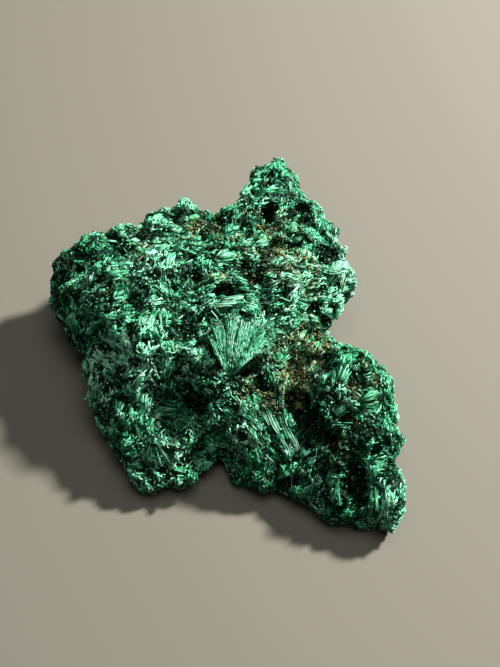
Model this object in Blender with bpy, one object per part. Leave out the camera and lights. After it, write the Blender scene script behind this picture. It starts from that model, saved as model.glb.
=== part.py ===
"""A hand specimen of fibrous malachite, as one solid piece of stone.

The stone is a broken slab about 7 cm long: a high plateau with a knob at its far end, and a lobe at
each near corner, with a hollow, a low rib and a valley between them. Its rough underside stands on
a few small flats.
Malachite grows as sprays of needles that share a root, so the surface is a pile of ribbed fans.
Lengths are in millimetres until the last step, which turns the finished mesh into metres.
+X is to the stone's right, +Y to its knob, +Z up, with the origin under the middle of its box.
"""

import math

import bmesh
import bpy
import numpy as np
from mathutils import Matrix, Vector, noise
from mathutils.bvhtree import BVHTree

METRES_PER_MM = 0.001
CORE_TRIANGLES = 3000
COARSE_VOXEL = 0.7

# The widest line round the stone, anticlockwise from the notch at its right: x, y, and the height
# at which the side bulges furthest.
WAIST = (
    (14.4, -3.4, 6.0),
    (14.6, -1.6, 6.0),
    (12.5, -0.4, 6.0),
    (13.9, 3.2, 7.0),
    (15.6, 5.6, 8.5),
    (16.4, 8.2, 10.0),
    (14.8, 11.6, 9.5),
    (15.6, 15.2, 10.5),
    (14.8, 18.0, 10.5),
    (12.8, 20.6, 10.5),
    (10.4, 24.6, 10.5),
    (8.6, 27.4, 10.5),
    (8.2, 30.8, 10.5),
    (6.4, 34.2, 10.5),
    (3.8, 35.2, 10.5),
    (1.4, 33.8, 10.0),
    (0.2, 31.2, 10.0),
    (-0.2, 28.8, 10.5),
    (-1.4, 24.6, 11.0),
    (-4.9, 23.6, 11.5),
    (-7.6, 23.6, 11.5),
    (-10.6, 24.0, 11.5),
    (-12.6, 22.2, 11.5),
    (-15.2, 22.8, 11.5),
    (-18.0, 20.2, 11.5),
    (-22.0, 19.4, 11.5),
    (-26.6, 16.6, 11.5),
    (-31.2, 14.6, 11.0),
    (-32.4, 11.2, 9.5),
    (-33.0, 8.0, 7.5),
    (-31.4, 4.8, 6.5),
    (-29.4, 1.8, 6.0),
    (-27.0, -1.6, 5.5),
    (-26.0, -4.4, 5.0),
    (-26.2, -7.4, 4.8),
    (-25.3, -10.4, 4.6),
    (-23.4, -14.4, 4.4),
    (-21.6, -18.2, 4.0),
    (-20.6, -21.4, 3.6),
    (-19.2, -23.6, 3.2),
    (-15.6, -26.8, 2.6),
    (-12.6, -25.8, 2.6),
    (-9.6, -24.0, 3.2),
    (-7.4, -21.8, 3.6),
    (-4.0, -21.0, 3.6),
    (-2.6, -22.2, 3.0),
    (-0.8, -24.6, 2.8),
    (2.0, -25.8, 2.6),
    (4.6, -25.6, 2.6),
    (7.6, -27.2, 2.6),
    (10.6, -29.0, 2.6),
    (14.2, -30.8, 2.4),
    (17.8, -32.2, 2.4),
    (21.4, -32.4, 2.6),
    (22.3, -30.6, 4.0),
    (22.1, -26.0, 5.5),
    (22.4, -21.0, 7.5),
    (22.8, -16.6, 8.5),
    (21.8, -11.8, 9.5),
    (19.4, -8.2, 9.5),
    (16.6, -5.8, 9.0),
    (15.0, -4.6, 8.0),
)

# The lie of the top, as spot heights: where, x, y, height.
TOP = (
    ("knob", 4.0, 31.5, 14.5),
    ("neck", 3.5, 27.0, 13.0),
    ("far right shoulder", 10.0, 20.6, 14.5),
    ("right crest", 12.0, 12.8, 15.0),
    ("right mass", 7.5, 13.5, 16.5),
    ("right rim", 13.4, 6.6, 13.5),
    ("far pit", 2.4, 21.0, 13.6),
    ("middle right", 4.6, 6.2, 17.0),
    ("under the right rim", 12.4, 0.6, 9.6),
    ("saddle", 7.6, -5.0, 12.0),
    ("brown hollow", 5.6, -10.4, 8.6),
    ("valley, far end", 7.4, -12.4, 7.6),
    ("far notch", -5.4, 20.6, 11.5),
    ("far small knob", -10.2, 21.4, 14.8),
    ("far left knob", -15.2, 19.6, 15.6),
    ("left pit", -20.0, 14.6, 13.4),
    ("far left brow", -22.6, 16.6, 15.2),
    ("left slope", -27.0, 12.4, 14.0),
    ("left corner", -30.4, 11.8, 12.4),
    ("left plateau", -22.0, 3.6, 17.2),
    ("left brow", -27.2, 3.0, 15.6),
    ("plateau", -12.6, 6.0, 17.6),
    ("middle", -7.0, 0.0, 17.6),
    ("left front rim", -22.6, -2.8, 16.6),
    ("front rim", -16.4, -5.0, 17.2),
    ("fan seat", -1.4, -9.4, 16.4),
    ("fan root", -2.8, -13.4, 14.6),
    ("left of the fan", -5.6, -10.6, 15.4),
    ("left ledge", -24.8, -6.0, 14.4),
    ("arch, left", -20.8, -11.0, 14.0),
    ("left cheek", -23.8, -12.4, 13.0),
    ("arch, middle", -15.2, -11.0, 16.4),
    ("arch, right", -9.4, -11.4, 16.4),
    ("hollow", -11.6, -14.4, 7.6),
    ("hollow, left", -16.8, -14.4, 9.0),
    ("left lobe", -16.4, -19.4, 8.8),
    ("left lobe, middle", -11.0, -21.0, 8.6),
    ("left lobe, tip", -15.0, -24.8, 5.4),
    ("left lobe, side", -21.4, -16.4, 9.6),
    ("front notch", -7.0, -18.6, 6.0),
    ("rib, left side", -4.2, -15.4, 12.0),
    ("rib, top", -1.2, -16.0, 12.8),
    ("rib, middle", -1.4, -19.8, 10.2),
    ("rib, foot", 0.0, -22.8, 7.8),
    ("front ledge", 3.4, -24.0, 6.2),
    ("needle bed", 3.4, -19.0, 8.0),
    ("valley", 8.4, -15.4, 6.6),
    ("valley, near end", 10.6, -21.4, 7.2),
    ("right lobe, far end", 15.4, -10.4, 14.0),
    ("right lobe, crest", 18.2, -14.6, 15.2),
    ("right lobe, left crest", 11.8, -16.4, 12.8),
    ("right lobe, middle", 15.8, -18.8, 13.6),
    ("right lobe, edge", 20.2, -19.6, 13.2),
    ("right lobe, step", 16.0, -22.4, 9.8),
    ("right lobe, low edge", 20.8, -26.4, 11.0),
    ("right lobe, pit", 15.4, -27.6, 7.0),
    ("right lobe, near side", 10.6, -26.6, 7.0),
    ("tip", 19.6, -31.0, 6.6),
)
TOP_REACH = 2.6

# The lie of the underside, in the same way. Feet reach below zero, and are cut off flat there.
UNDERSIDE = (
    ("foot under the knob's root", 4.0, 22.0, -0.9),
    ("foot at the left", -24.0, 8.0, -0.9),
    ("foot under the middle", -7.0, 4.0, -0.8),
    ("foot of the left lobe", -16.0, -20.5, -0.8),
    ("foot of the right lobe", 18.6, -27.4, -0.8),
    ("foot of the rib", 1.0, -20.8, -0.7),
    ("under the knob", 4.0, 31.0, 5.6),
    ("under the right rim", 11.6, 12.0, 3.0),
    ("under the notch", 9.0, -2.0, 2.6),
    ("under the middle right", 2.0, 12.0, 1.6),
    ("under the far notch", -8.0, 19.0, 3.4),
    ("under the far left", -17.0, 16.0, 2.4),
    ("under the left corner", -29.0, 9.0, 2.2),
    ("under the left", -22.0, -4.0, 1.6),
    ("under the plateau", -12.0, -5.0, 2.2),
    ("under the hollow", -9.0, -15.0, 1.2),
    ("under the saddle", 4.0, -9.0, 2.6),
    ("under the valley", 10.0, -18.0, 1.4),
    ("under the right lobe", 17.0, -13.0, 2.4),
)
UNDERSIDE_REACH = 3.6

# How squarely the edges turn from the flat of the stone into its sides. The near sides drop more
# steeply than the far ones: y, and the power there.
FAR_EDGE = (14.0, 5.0)
NEAR_EDGE = (6.0, 10.0)
UNDERSIDE_EDGE_POWER = 6.0

# Lumps in the skin: how far apart they are, and how deep.
BIG_LUMPS = (6.0, 1.1)
LITTLE_LUMPS = (3.0, 0.6)

# Knobs that stand out of the mass: name, centre x, y, z, and half-sizes x, y, z.
KNOBS = (
    ("knob, far half", 4.8, 31.8, 10.6, 3.7, 3.5, 3.8),
    ("knob, left half", 2.6, 30.2, 10.2, 2.6, 2.8, 3.6),
    ("knob, right cheek", 6.9, 30.2, 10.0, 2.4, 2.4, 3.4),
    ("far right shoulder", 9.8, 22.6, 10.8, 2.8, 3.0, 3.8),
    ("right shoulder", 12.4, 17.0, 10.8, 2.8, 3.4, 4.2),
    ("right bulge", 14.2, 8.8, 10.0, 3.0, 3.6, 4.0),
    ("far small knob", -10.4, 22.0, 11.2, 2.5, 2.4, 3.4),
    ("far left knob", -15.2, 20.2, 11.8, 3.2, 2.6, 3.8),
    ("far left brow", -21.6, 16.8, 11.2, 3.0, 2.6, 3.4),
    ("far left slope", -26.0, 14.4, 11.0, 3.0, 2.4, 3.8),
    ("left corner", -30.0, 12.2, 9.6, 2.4, 2.6, 4.4),
    ("left flank, far", -30.6, 6.4, 6.8, 2.4, 2.6, 4.4),
    ("left flank, middle", -27.6, 1.6, 6.4, 2.6, 3.0, 4.8),
    ("left flank, near", -24.6, -6.0, 5.6, 2.4, 3.2, 4.8),
    ("left lobe, cheek", -22.6, -12.0, 5.2, 2.6, 3.4, 4.6),
    ("left lobe, near cheek", -19.4, -19.0, 4.2, 2.6, 3.2, 3.6),
    ("left lobe, toe", -15.6, -23.8, 3.0, 2.8, 2.6, 2.6),
    ("rib, toe", 0.4, -22.6, 3.2, 2.6, 2.6, 3.2),
    ("front ledge, toe", 4.6, -23.6, 3.0, 2.8, 2.2, 2.8),
    ("notch knob", 13.2, -2.2, 6.6, 1.8, 1.7, 2.6),
    ("right lobe, crown", 17.4, -11.4, 10.0, 3.8, 3.6, 4.8),
    ("right lobe, shoulder", 19.4, -16.2, 9.0, 2.8, 3.6, 5.2),
    ("right lobe, near toe", 12.6, -28.4, 3.2, 3.2, 2.2, 2.8),
    ("right lobe, tip", 19.8, -30.4, 3.4, 2.6, 2.2, 3.2),
)
SMALL_KNOBS = 150
SMALL_KNOB_SIZES = (0.9, 2.0)

# Hollows pressed into the mass: name, centre x, y, z, half-sizes x, y, z, and the way it is pressed.
HOLLOWS = (
    ("hollow of the front", -11.0, -15.8, 11.0, 5.4, 3.8, 4.4, (0.0, 0.3, -1.0)),
    ("cave at its left", -16.4, -13.8, 11.6, 4.0, 2.2, 2.8, (0.1, 0.8, -0.6)),
    ("front notch", -6.4, -22.4, 8.0, 3.8, 4.4, 4.6, (0.0, 1.0, -0.6)),
    ("pit right of the fan", 2.2, -11.4, 14.4, 2.4, 2.0, 3.2, (-0.2, 0.4, -1.0)),
    ("brown hollow", 6.0, -11.4, 12.4, 3.6, 3.2, 4.2, (0.0, 0.2, -1.0)),
    ("valley", 8.4, -16.2, 11.6, 2.8, 5.2, 5.2, (0.0, 0.0, -1.0)),
    ("right lobe, pit", 15.2, -28.6, 10.6, 2.6, 2.8, 4.2, (0.0, 0.5, -1.0)),
    ("right lobe, step", 17.4, -23.4, 13.8, 3.6, 1.6, 3.0, (0.0, 0.4, -1.0)),
    ("far notch", -5.2, 21.6, 14.6, 2.8, 2.6, 4.2, (0.0, -0.4, -1.0)),
    ("far pit", 3.4, 20.8, 16.6, 2.0, 2.6, 4.6, (0.0, 0.0, -1.0)),
    ("right pit", 10.0, 20.2, 16.4, 2.4, 1.7, 3.4, (0.0, 0.0, -1.0)),
    ("inner pit", 6.4, 14.8, 18.2, 2.6, 1.8, 3.2, (0.0, 0.0, -1.0)),
    ("middle pit", 0.6, 8.4, 19.0, 2.0, 3.0, 3.6, (0.0, 0.0, -1.0)),
    ("left pit", -19.6, 13.6, 16.6, 2.0, 1.5, 3.0, (0.0, 0.0, -1.0)),
    ("plateau pit", -7.4, 10.4, 18.6, 1.6, 2.6, 3.0, (0.0, 0.0, -1.0)),
    ("fan's far pit", -5.0, -2.6, 18.8, 2.4, 1.2, 2.6, (0.0, 0.2, -1.0)),
    ("left front pit", -20.2, -5.8, 17.0, 2.8, 1.3, 3.4, (0.0, 0.4, -1.0)),
    ("left flank groove", -26.6, 8.2, 15.8, 1.2, 3.6, 2.6, (0.3, 0.0, -1.0)),
)

# Sprays of needles big enough to see from a step away: name, root x, y, heading in degrees
# anticlockwise from +X, spread in degrees, length, number of ribs, width of a rib, rise at the tips.
SPRAYS = (
    ("great fan", -2.8, -14.6, 86, 60, 9.6, 11, 1.2, 2.6),
    ("great fan, right leaf", -1.4, -13.0, 44, 30, 7.4, 5, 1.1, 2.2),
    ("right fan", 3.8, 5.6, 6, 26, 9.4, 5, 1.2, 2.0),
    ("right rim fan", 13.2, 4.4, 112, 56, 5.6, 6, 1.0, 1.8),
    ("right bundle", 12.6, 11.4, 142, 14, 6.0, 3, 1.2, 2.2),
    ("right crest bundle", 8.8, 12.2, 172, 20, 5.2, 3, 1.2, 1.8),
    ("middle bundle", -9.8, 8.6, 20, 26, 7.0, 4, 1.2, 1.8),
    ("middle ledge", -12.4, 1.4, 6, 12, 9.8, 3, 1.2, 1.8),
    ("near ledge", -11.4, -1.6, 4, 10, 8.8, 3, 1.1, 1.8),
    ("plateau fan", -14.4, 2.8, 84, 60, 6.2, 6, 1.1, 1.9),
    ("plateau's left fan", -18.0, 6.6, 200, 50, 6.8, 5, 1.2, 1.6),
    ("far left fan", -16.6, 13.8, 62, 60, 6.2, 5, 1.2, 1.6),
    ("left slope fan", -22.2, 11.6, 196, 34, 7.0, 4, 1.2, 1.4),
    ("left brow fan", -23.6, 4.2, 190, 60, 6.0, 5, 1.2, 1.4),
    ("left curl", -19.6, -0.4, 28, 50, 5.4, 5, 1.1, 1.8),
    ("front upright", -14.6, -7.2, 92, 26, 5.8, 4, 1.0, 1.8),
    ("left front fan", -17.8, -8.2, 128, 46, 5.6, 5, 1.1, 1.6),
    ("arch ribs", -11.0, -13.8, 106, 110, 5.4, 9, 1.0, 1.6),
    ("left lobe ribs", -11.6, -14.2, 240, 96, 8.0, 8, 1.2, 1.6),
    ("notch ribs", -9.0, -15.0, 296, 46, 7.4, 5, 1.2, 1.2),
    ("rib's spine", -3.0, -14.6, 280, 20, 8.0, 3, 1.3, 1.6),
    ("needle bed", 1.6, -21.6, 64, 40, 8.6, 6, 0.9, 1.8),
    ("saddle fan", 5.6, -7.2, 30, 60, 5.4, 5, 1.0, 1.2),
    ("right lobe fan", 12.4, -14.0, 74, 56, 5.2, 5, 1.1, 1.2),
    ("right lobe crown fan", 17.2, -15.6, 66, 90, 5.2, 6, 1.1, 1.4),
    ("right lobe bundle", 19.2, -25.6, 138, 20, 6.4, 4, 1.2, 1.4),
    ("right lobe low fan", 18.8, -29.8, 104, 50, 5.4, 5, 1.1, 1.2),
    ("near side curl", 11.4, -28.0, 72, 50, 5.4, 5, 1.1, 1.2),
    ("far shoulder fan", 6.2, 17.6, 44, 60, 6.4, 5, 1.2, 1.8),
    ("knob fan", 3.8, 28.4, 84, 90, 4.0, 4, 1.1, 0.8),
)
# A rib starts this share of its length from the spray's root, and this share of its width below it.
ROOT_GAP = 0.12
RIB_SINK = 0.7
# The ribs at the sides of a spray are shorter by this share, and every other rib is longer by this one.
SIDE_SHORTENING = 0.7
RIB_STAGGER = 0.12
# The ribs of a spray rise to these shares of its rise, in turn.
RISE_STEPS = (0.5, 0.75, 1.0)
# A rib is tried at these shares of its reach until it ends on skin that falls no more steeply than this.
REACH_STEPS = (1.0, 0.85, 0.7, 0.55, 0.4)
STEEPEST_FALL = 0.7

TUFTS = 50
TUFTS_ABOVE = 4.0
TUFT_LENGTHS = (2.4, 4.2)
TUFT_RIB = 0.8

MALACHITE_GREEN = (0.035, 0.24, 0.13, 1.0)


def mesh_object(name, points, faces):
    """An object in the scene with this mesh."""
    mesh = bpy.data.meshes.new(name)
    mesh.from_pydata([tuple(p) for p in points], [], [tuple(f) for f in faces])
    obj = bpy.data.objects.new(name, mesh)
    bpy.context.scene.collection.objects.link(obj)
    return obj


def apply_modifiers(obj):
    """Makes the object's mesh what its modifiers turn it into."""
    graph = bpy.context.evaluated_depsgraph_get()
    mesh = bpy.data.meshes.new_from_object(obj.evaluated_get(graph))
    old = obj.data
    obj.modifiers.clear()
    obj.data = mesh
    bpy.data.meshes.remove(old)


def fuse(obj, voxel):
    """Makes all overlapping shells of the object one closed skin of even faces."""
    skin = obj.modifiers.new("Fuse", "REMESH")
    skin.mode = "VOXEL"
    skin.voxel_size = voxel
    apply_modifiers(obj)


def keep_outer_skin(obj):
    """Removes closed bubbles and loose crumbs, which leaves the one skin with the most faces."""
    shape = bmesh.new()
    shape.from_mesh(obj.data)
    shape.verts.ensure_lookup_table()
    seen = set()
    pieces = []
    for start in shape.verts:
        if start.index in seen:
            continue
        seen.add(start.index)
        piece = [start]
        for vert in piece:
            for edge in vert.link_edges:
                other = edge.other_vert(vert)
                if other.index not in seen:
                    seen.add(other.index)
                    piece.append(other)
        pieces.append(piece)
    pieces.sort(key=len)
    spare = [vert for piece in pieces[:-1] for vert in piece]
    bmesh.ops.delete(shape, geom=spare, context="VERTS")
    shape.to_mesh(obj.data)
    shape.free()


def vertices_of(obj):
    found = np.empty(len(obj.data.vertices) * 3)
    obj.data.vertices.foreach_get("co", found)
    return found.reshape(-1, 3)


def normals_of(obj):
    found = np.empty(len(obj.data.vertices) * 3, np.float32)
    obj.data.vertices.foreach_get("normal", found)
    return found.reshape(-1, 3).astype(float)


def set_vertices(obj, points):
    obj.data.vertices.foreach_set("co", points.ravel())
    obj.data.update()


def spot_height(spots, reach, x, y):
    """The height that the spot heights give at x, y, the nearest ones counting most."""
    places = np.array([spot[1:] for spot in spots])
    squares = (places[:, 0] - x) ** 2 + (places[:, 1] - y) ** 2
    squares = squares - squares.min()
    weights = np.exp(-squares / (2 * reach * reach))
    return float(weights @ places[:, 2] / weights.sum())


def edge_power(side, y):
    """How squarely the top or the underside turns into the sides at this y."""
    if side == "under":
        return UNDERSIDE_EDGE_POWER
    far_y, far_power = FAR_EDGE
    near_y, near_power = NEAR_EDGE
    return float(np.interp(y, (near_y, far_y), (near_power, far_power)))


def slab():
    """The mass of the stone: rings from its middle out to the waist, on the top and the underside."""
    waist = np.array(WAIST)
    steps_between = 4
    rings = 26
    closed = np.vstack([waist, waist[:1]])
    around = []
    for start, end in zip(closed[:-1], closed[1:]):
        for step in range(steps_between):
            around.append(start + (end - start) * step / steps_between)
    around = np.array(around)
    count = len(around)
    points = [(0.0, 0.0, spot_height(TOP, TOP_REACH, 0.0, 0.0))]
    faces = []
    for side, spots, reach in (("top", TOP, TOP_REACH), ("under", UNDERSIDE, UNDERSIDE_REACH)):
        first = len(points)
        for ring in range(1, rings + (side == "top")):
            share = math.sin(ring / rings * math.pi / 2)
            for x, y, z in around:
                fullness = (1 - share ** edge_power(side, y)) ** 0.5
                at_x = x * share
                at_y = y * share
                height = spot_height(spots, reach, at_x, at_y)
                points.append((at_x, at_y, z + (height - z) * fullness))
        if side == "top":
            top_first = first
            waist_first = first + (rings - 1) * count
        else:
            under_first = first
    points.append((0.0, 0.0, spot_height(UNDERSIDE, UNDERSIDE_REACH, 0.0, 0.0)))
    bottom = len(points) - 1

    def ring_start(side_first, ring):
        if ring == rings:
            return waist_first
        return side_first + (ring - 1) * count

    for k in range(count):
        following = (k + 1) % count
        faces.append((0, top_first + k, top_first + following))
        faces.append((bottom, under_first + following, under_first + k))
        for ring in range(1, rings):
            inner = ring_start(top_first, ring)
            outer = ring_start(top_first, ring + 1)
            faces.append((inner + k, outer + k, outer + following, inner + following))
            inner = ring_start(under_first, ring)
            outer = ring_start(under_first, ring + 1)
            faces.append((inner + following, outer + following, outer + k, inner + k))
    return mesh_object("malachite", points, faces)


def add_ellipsoid(shape, centre, half_sizes, turn=0.0):
    """Adds one rounded lump to the bmesh."""
    place = (
        Matrix.Translation(centre)
        @ Matrix.Rotation(turn, 4, "Z")
        @ Matrix.Diagonal((*half_sizes, 1.0))
    )
    bmesh.ops.create_icosphere(shape, subdivisions=3, radius=1.0, matrix=place)


def add_knobs(obj):
    """The named knobs, and small ones along the waist, where the needles end in rounded heads."""
    shape = bmesh.new()
    shape.from_mesh(obj.data)
    for _, x, y, z, half_x, half_y, half_z in KNOBS:
        add_ellipsoid(shape, (x, y, z), (half_x, half_y, half_z))
    chance = np.random.default_rng(7)
    waist = np.array(WAIST)
    for _ in range(SMALL_KNOBS):
        index = chance.integers(len(waist))
        x, y, z = waist[index] + (waist[(index + 1) % len(waist)] - waist[index]) * chance.random()
        size = chance.uniform(*SMALL_KNOB_SIZES)
        inward = 1 - (size + chance.uniform(-0.2, 0.9)) / math.hypot(x, y)
        height = z + chance.uniform(-0.45, 0.15) * z
        long_way = size * chance.uniform(1.0, 1.6)
        add_ellipsoid(shape, (x * inward, y * inward, height), (size, long_way, size), chance.uniform(0, math.pi))
    shape.to_mesh(obj.data)
    shape.free()


def press_hollows(obj):
    """Moves the skin out of each hollow, in the hollow's own direction."""
    points = vertices_of(obj)
    for _, x, y, z, half_x, half_y, half_z, way in HOLLOWS:
        half = np.array((half_x, half_y, half_z))
        step = np.array(way) / np.linalg.norm(way)
        place = (points - (x, y, z)) / half
        inside = (place**2).sum(axis=1) < 1
        direction = step / half
        a = direction @ direction
        b = place[inside] @ direction
        c = (place[inside] ** 2).sum(axis=1) - 1
        travel = (-b + np.sqrt(b * b - a * c)) / a
        points[inside] += travel[:, None] * step
    set_vertices(obj, points)


def roughen(obj, lumps, seed):
    """Pushes the skin out and in along its normals by smooth noise with lumps of the given size."""
    scale, depth = lumps
    points = vertices_of(obj)
    normals = normals_of(obj)
    offset = Vector((seed * 17.3, seed * 5.1, seed * 9.7))
    for index, point in enumerate(points):
        value = noise.fractal(Vector(point) / scale + offset, 0.9, 2.0, 3)
        points[index] += normals[index] * (value * depth)
    set_vertices(obj, points)


def add_sprays(stone):
    """Grows the named sprays and the small tufts on the stone, and makes all of it one body."""
    shape = bmesh.new()
    shape.from_mesh(stone.data)
    skin = BVHTree.FromBMesh(shape)
    faces = [(face.calc_center_median(), face.normal.copy(), face.calc_area()) for face in shape.faces]
    shape.free()
    shape = bmesh.new()
    for _, root_x, root_y, heading, spread, length, ribs, width, rise in SPRAYS:
        root = ground_at(skin, root_x, root_y)
        for rib in range(ribs):
            share = rib / (ribs - 1) - 0.5
            bearing = math.radians(heading + spread * share)
            reach = length * (1 - 0.5 * SIDE_SHORTENING * abs(share) + RIB_STAGGER * (rib % 2))
            tip = tip_on_skin(skin, root, bearing, reach)
            tip.z += rise * RISE_STEPS[rib % 3] * (tip - root).length / length
            start = root - Vector((0, 0, RIB_SINK * width))
            add_rib(shape, start.lerp(tip, ROOT_GAP), tip, width)
    chance = np.random.default_rng(3)
    areas = np.array([area for _, _, area in faces])
    for index in chance.choice(len(faces), TUFTS, replace=False, p=areas / areas.sum()):
        centre, normal, _ = faces[index]
        if centre.z > TUFTS_ABOVE:
            add_tuft(shape, chance, centre, normal)
    mesh = bpy.data.meshes.new("ribs")
    shape.to_mesh(mesh)
    shape.free()
    ribs = bpy.data.objects.new("ribs", mesh)
    bpy.context.scene.collection.objects.link(ribs)
    combine(stone, ribs, "UNION")


def ground_at(skin, x, y):
    """The highest point of the skin at x, y, or nothing beside the stone."""
    return skin.ray_cast(Vector((x, y, 60.0)), Vector((0, 0, -1)))[0]


def tip_on_skin(skin, root, bearing, reach):
    """Where a rib of this reach ends on the skin. One that would leave the stone is shorter."""
    for share in REACH_STEPS:
        x = root.x + share * reach * math.cos(bearing)
        y = root.y + share * reach * math.sin(bearing)
        tip = ground_at(skin, x, y)
        if tip is not None and root.z - tip.z < STEEPEST_FALL * share * reach:
            return tip
    return root + Vector((math.cos(bearing), math.sin(bearing), -0.5)) * (REACH_STEPS[-1] * reach)


def add_tuft(shape, chance, centre, normal):
    """A few short ribs that spread from one root, leaning over to a side."""
    lean = Vector(chance.normal(size=3)).cross(normal).normalized()
    across = normal.cross(lean)
    axis = (normal * chance.uniform(0.25, 0.7) + lean).normalized()
    length = chance.uniform(*TUFT_LENGTHS)
    root = centre - normal * 0.7 - axis * 0.3 * length
    for share in (-0.4, 0.0, 0.4):
        way = (axis + across * share).normalized()
        tip = root + way * length * (1.1 - 0.5 * abs(share))
        add_rib(shape, root.lerp(tip, ROOT_GAP), tip, TUFT_RIB)


def add_rib(shape, root, tip, width):
    """One rib: a three-sided blade with its ridge upward, narrow at the root and pointed at the tip."""
    along = tip - root
    place = Matrix.Translation(root) @ along.to_track_quat("Z", "Y").to_matrix().to_4x4()
    corners = ((-0.5, -0.2), (0.5, -0.2), (0.0, 0.45))

    def ring(share, size):
        height = share * along.length
        return [shape.verts.new(place @ Vector((x * size, y * size, height))) for x, y in corners]

    lower = ring(0.0, 0.35 * width)
    upper = ring(0.8, width)
    point = shape.verts.new(tip)
    shape.faces.new(reversed(lower))
    for side in range(3):
        following = (side + 1) % 3
        shape.faces.new((lower[side], lower[following], upper[following], upper[side]))
        shape.faces.new((upper[side], upper[following], point))


def combine(obj, other, operation):
    """Joins the other object to this one, or cuts it away, and removes it."""
    change = obj.modifiers.new(operation, "BOOLEAN")
    change.operation = operation
    change.solver = "EXACT"
    change.use_self = True
    change.object = other
    apply_modifiers(obj)
    bpy.data.objects.remove(other)


def thin_out(obj):
    """Reduces the skin to few faces, which stay small where it bends."""
    faces = sum(len(face.vertices) - 2 for face in obj.data.polygons)
    fewer = obj.modifiers.new("Fewer faces", "DECIMATE")
    fewer.ratio = CORE_TRIANGLES / faces
    fewer.use_collapse_triangulate = True
    apply_modifiers(obj)


def cut_feet(obj):
    """Cuts off all that reaches below zero, so that the stone stands on flats."""
    shape = bmesh.new()
    bmesh.ops.create_cube(shape, size=1.0)
    bmesh.ops.scale(shape, vec=(100.0, 100.0, 10.0), verts=shape.verts)
    bmesh.ops.translate(shape, vec=(0.0, 0.0, -5.0), verts=shape.verts)
    mesh = bpy.data.meshes.new("ground")
    shape.to_mesh(mesh)
    shape.free()
    ground = bpy.data.objects.new("ground", mesh)
    bpy.context.scene.collection.objects.link(ground)
    combine(obj, ground, "DIFFERENCE")


def settle(obj):
    """Puts the origin under the middle of the stone's box, and turns millimetres into metres."""
    points = vertices_of(obj)
    low = points.min(axis=0)
    high = points.max(axis=0)
    middle = (low + high) / 2
    middle[2] = low[2]
    set_vertices(obj, (points - middle) * METRES_PER_MM)


def colour(obj):
    material = bpy.data.materials.new("malachite")
    material.use_nodes = True
    shader = material.node_tree.nodes["Principled BSDF"]
    shader.inputs["Base Color"].default_value = MALACHITE_GREEN
    shader.inputs["Roughness"].default_value = 0.5
    shader.inputs["Metallic"].default_value = 0.0
    obj.data.materials.clear()
    obj.data.materials.append(material)


def main():
    for obj in list(bpy.data.objects):
        bpy.data.objects.remove(obj)
    stone = slab()
    add_knobs(stone)
    fuse(stone, COARSE_VOXEL)
    press_hollows(stone)
    roughen(stone, BIG_LUMPS, seed=1)
    fuse(stone, COARSE_VOXEL)
    roughen(stone, LITTLE_LUMPS, seed=2)
    keep_outer_skin(stone)
    thin_out(stone)
    add_sprays(stone)
    keep_outer_skin(stone)
    cut_feet(stone)
    settle(stone)
    colour(stone)


main()
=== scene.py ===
import math

import bmesh
import bpy
import numpy as np
from mathutils import Matrix, Vector, noise
from mathutils.bvhtree import BVHTree


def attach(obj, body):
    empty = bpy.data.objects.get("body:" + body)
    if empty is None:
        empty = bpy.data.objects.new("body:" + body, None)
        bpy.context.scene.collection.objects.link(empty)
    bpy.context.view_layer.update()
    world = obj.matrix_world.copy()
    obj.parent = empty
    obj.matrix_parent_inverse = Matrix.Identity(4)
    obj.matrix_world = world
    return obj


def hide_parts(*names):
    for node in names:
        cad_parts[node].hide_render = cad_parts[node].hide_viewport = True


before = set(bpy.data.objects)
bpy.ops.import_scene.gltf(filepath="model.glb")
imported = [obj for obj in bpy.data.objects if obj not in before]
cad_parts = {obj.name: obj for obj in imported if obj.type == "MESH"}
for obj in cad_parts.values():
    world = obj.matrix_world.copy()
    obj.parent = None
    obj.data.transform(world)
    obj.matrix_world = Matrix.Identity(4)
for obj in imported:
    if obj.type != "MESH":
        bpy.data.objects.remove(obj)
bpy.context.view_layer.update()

# The mass of the stone: malachite needles grown side by side in bundles, packed like a heap of wood chips. In
# one patch all the bundles lie one way, and in the next patch another way. Each bundle is made of ribs, is
# tilted a little, and has a gap around it, darkened with painted shade.

# Sizes are in millimetres until a mesh is finished, and headings in degrees. GROUND_SUNK is a share of
# SKIN_LIFT, and below UNDER_HEIGHT the relief grows weaker, down to UNDER_RELIEF of it at the foot.
MM = 0.001
FORM_PITCH = 0.34
SKIN_PITCH = 0.345
BROAD_PITCH = 1.6
PATCH_SIZE = 4.2
PATCH_RISE = 0.25
HEADING_UNLIKE = 20
BUNDLE_WIDTH = 1.7
BUNDLE_LENGTH = 3.6
BUNDLE_RELIEF = 1.2
BUNDLE_STEP = 0.9
BUNDLE_TILT = 0.5
SKIN_LIFT = 0.25
GROUND_SUNK = 1.2
RIB_WIDTH = 0.55
RIB_LENGTH = 2.2
RIB_RELIEF = 0.48
BARK_SIZE = 0.8
BARK_RELIEF = 0.26
UNDER_RELIEF = 0.35
UNDER_HEIGHT = 3.0

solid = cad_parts["malachite"]
chance = np.random.default_rng(11)
noise.seed_set(11)


def placed(name, data):
    """A new object in the scene."""
    item = bpy.data.objects.new(name, data)
    bpy.context.scene.collection.objects.link(item)
    return item


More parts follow.
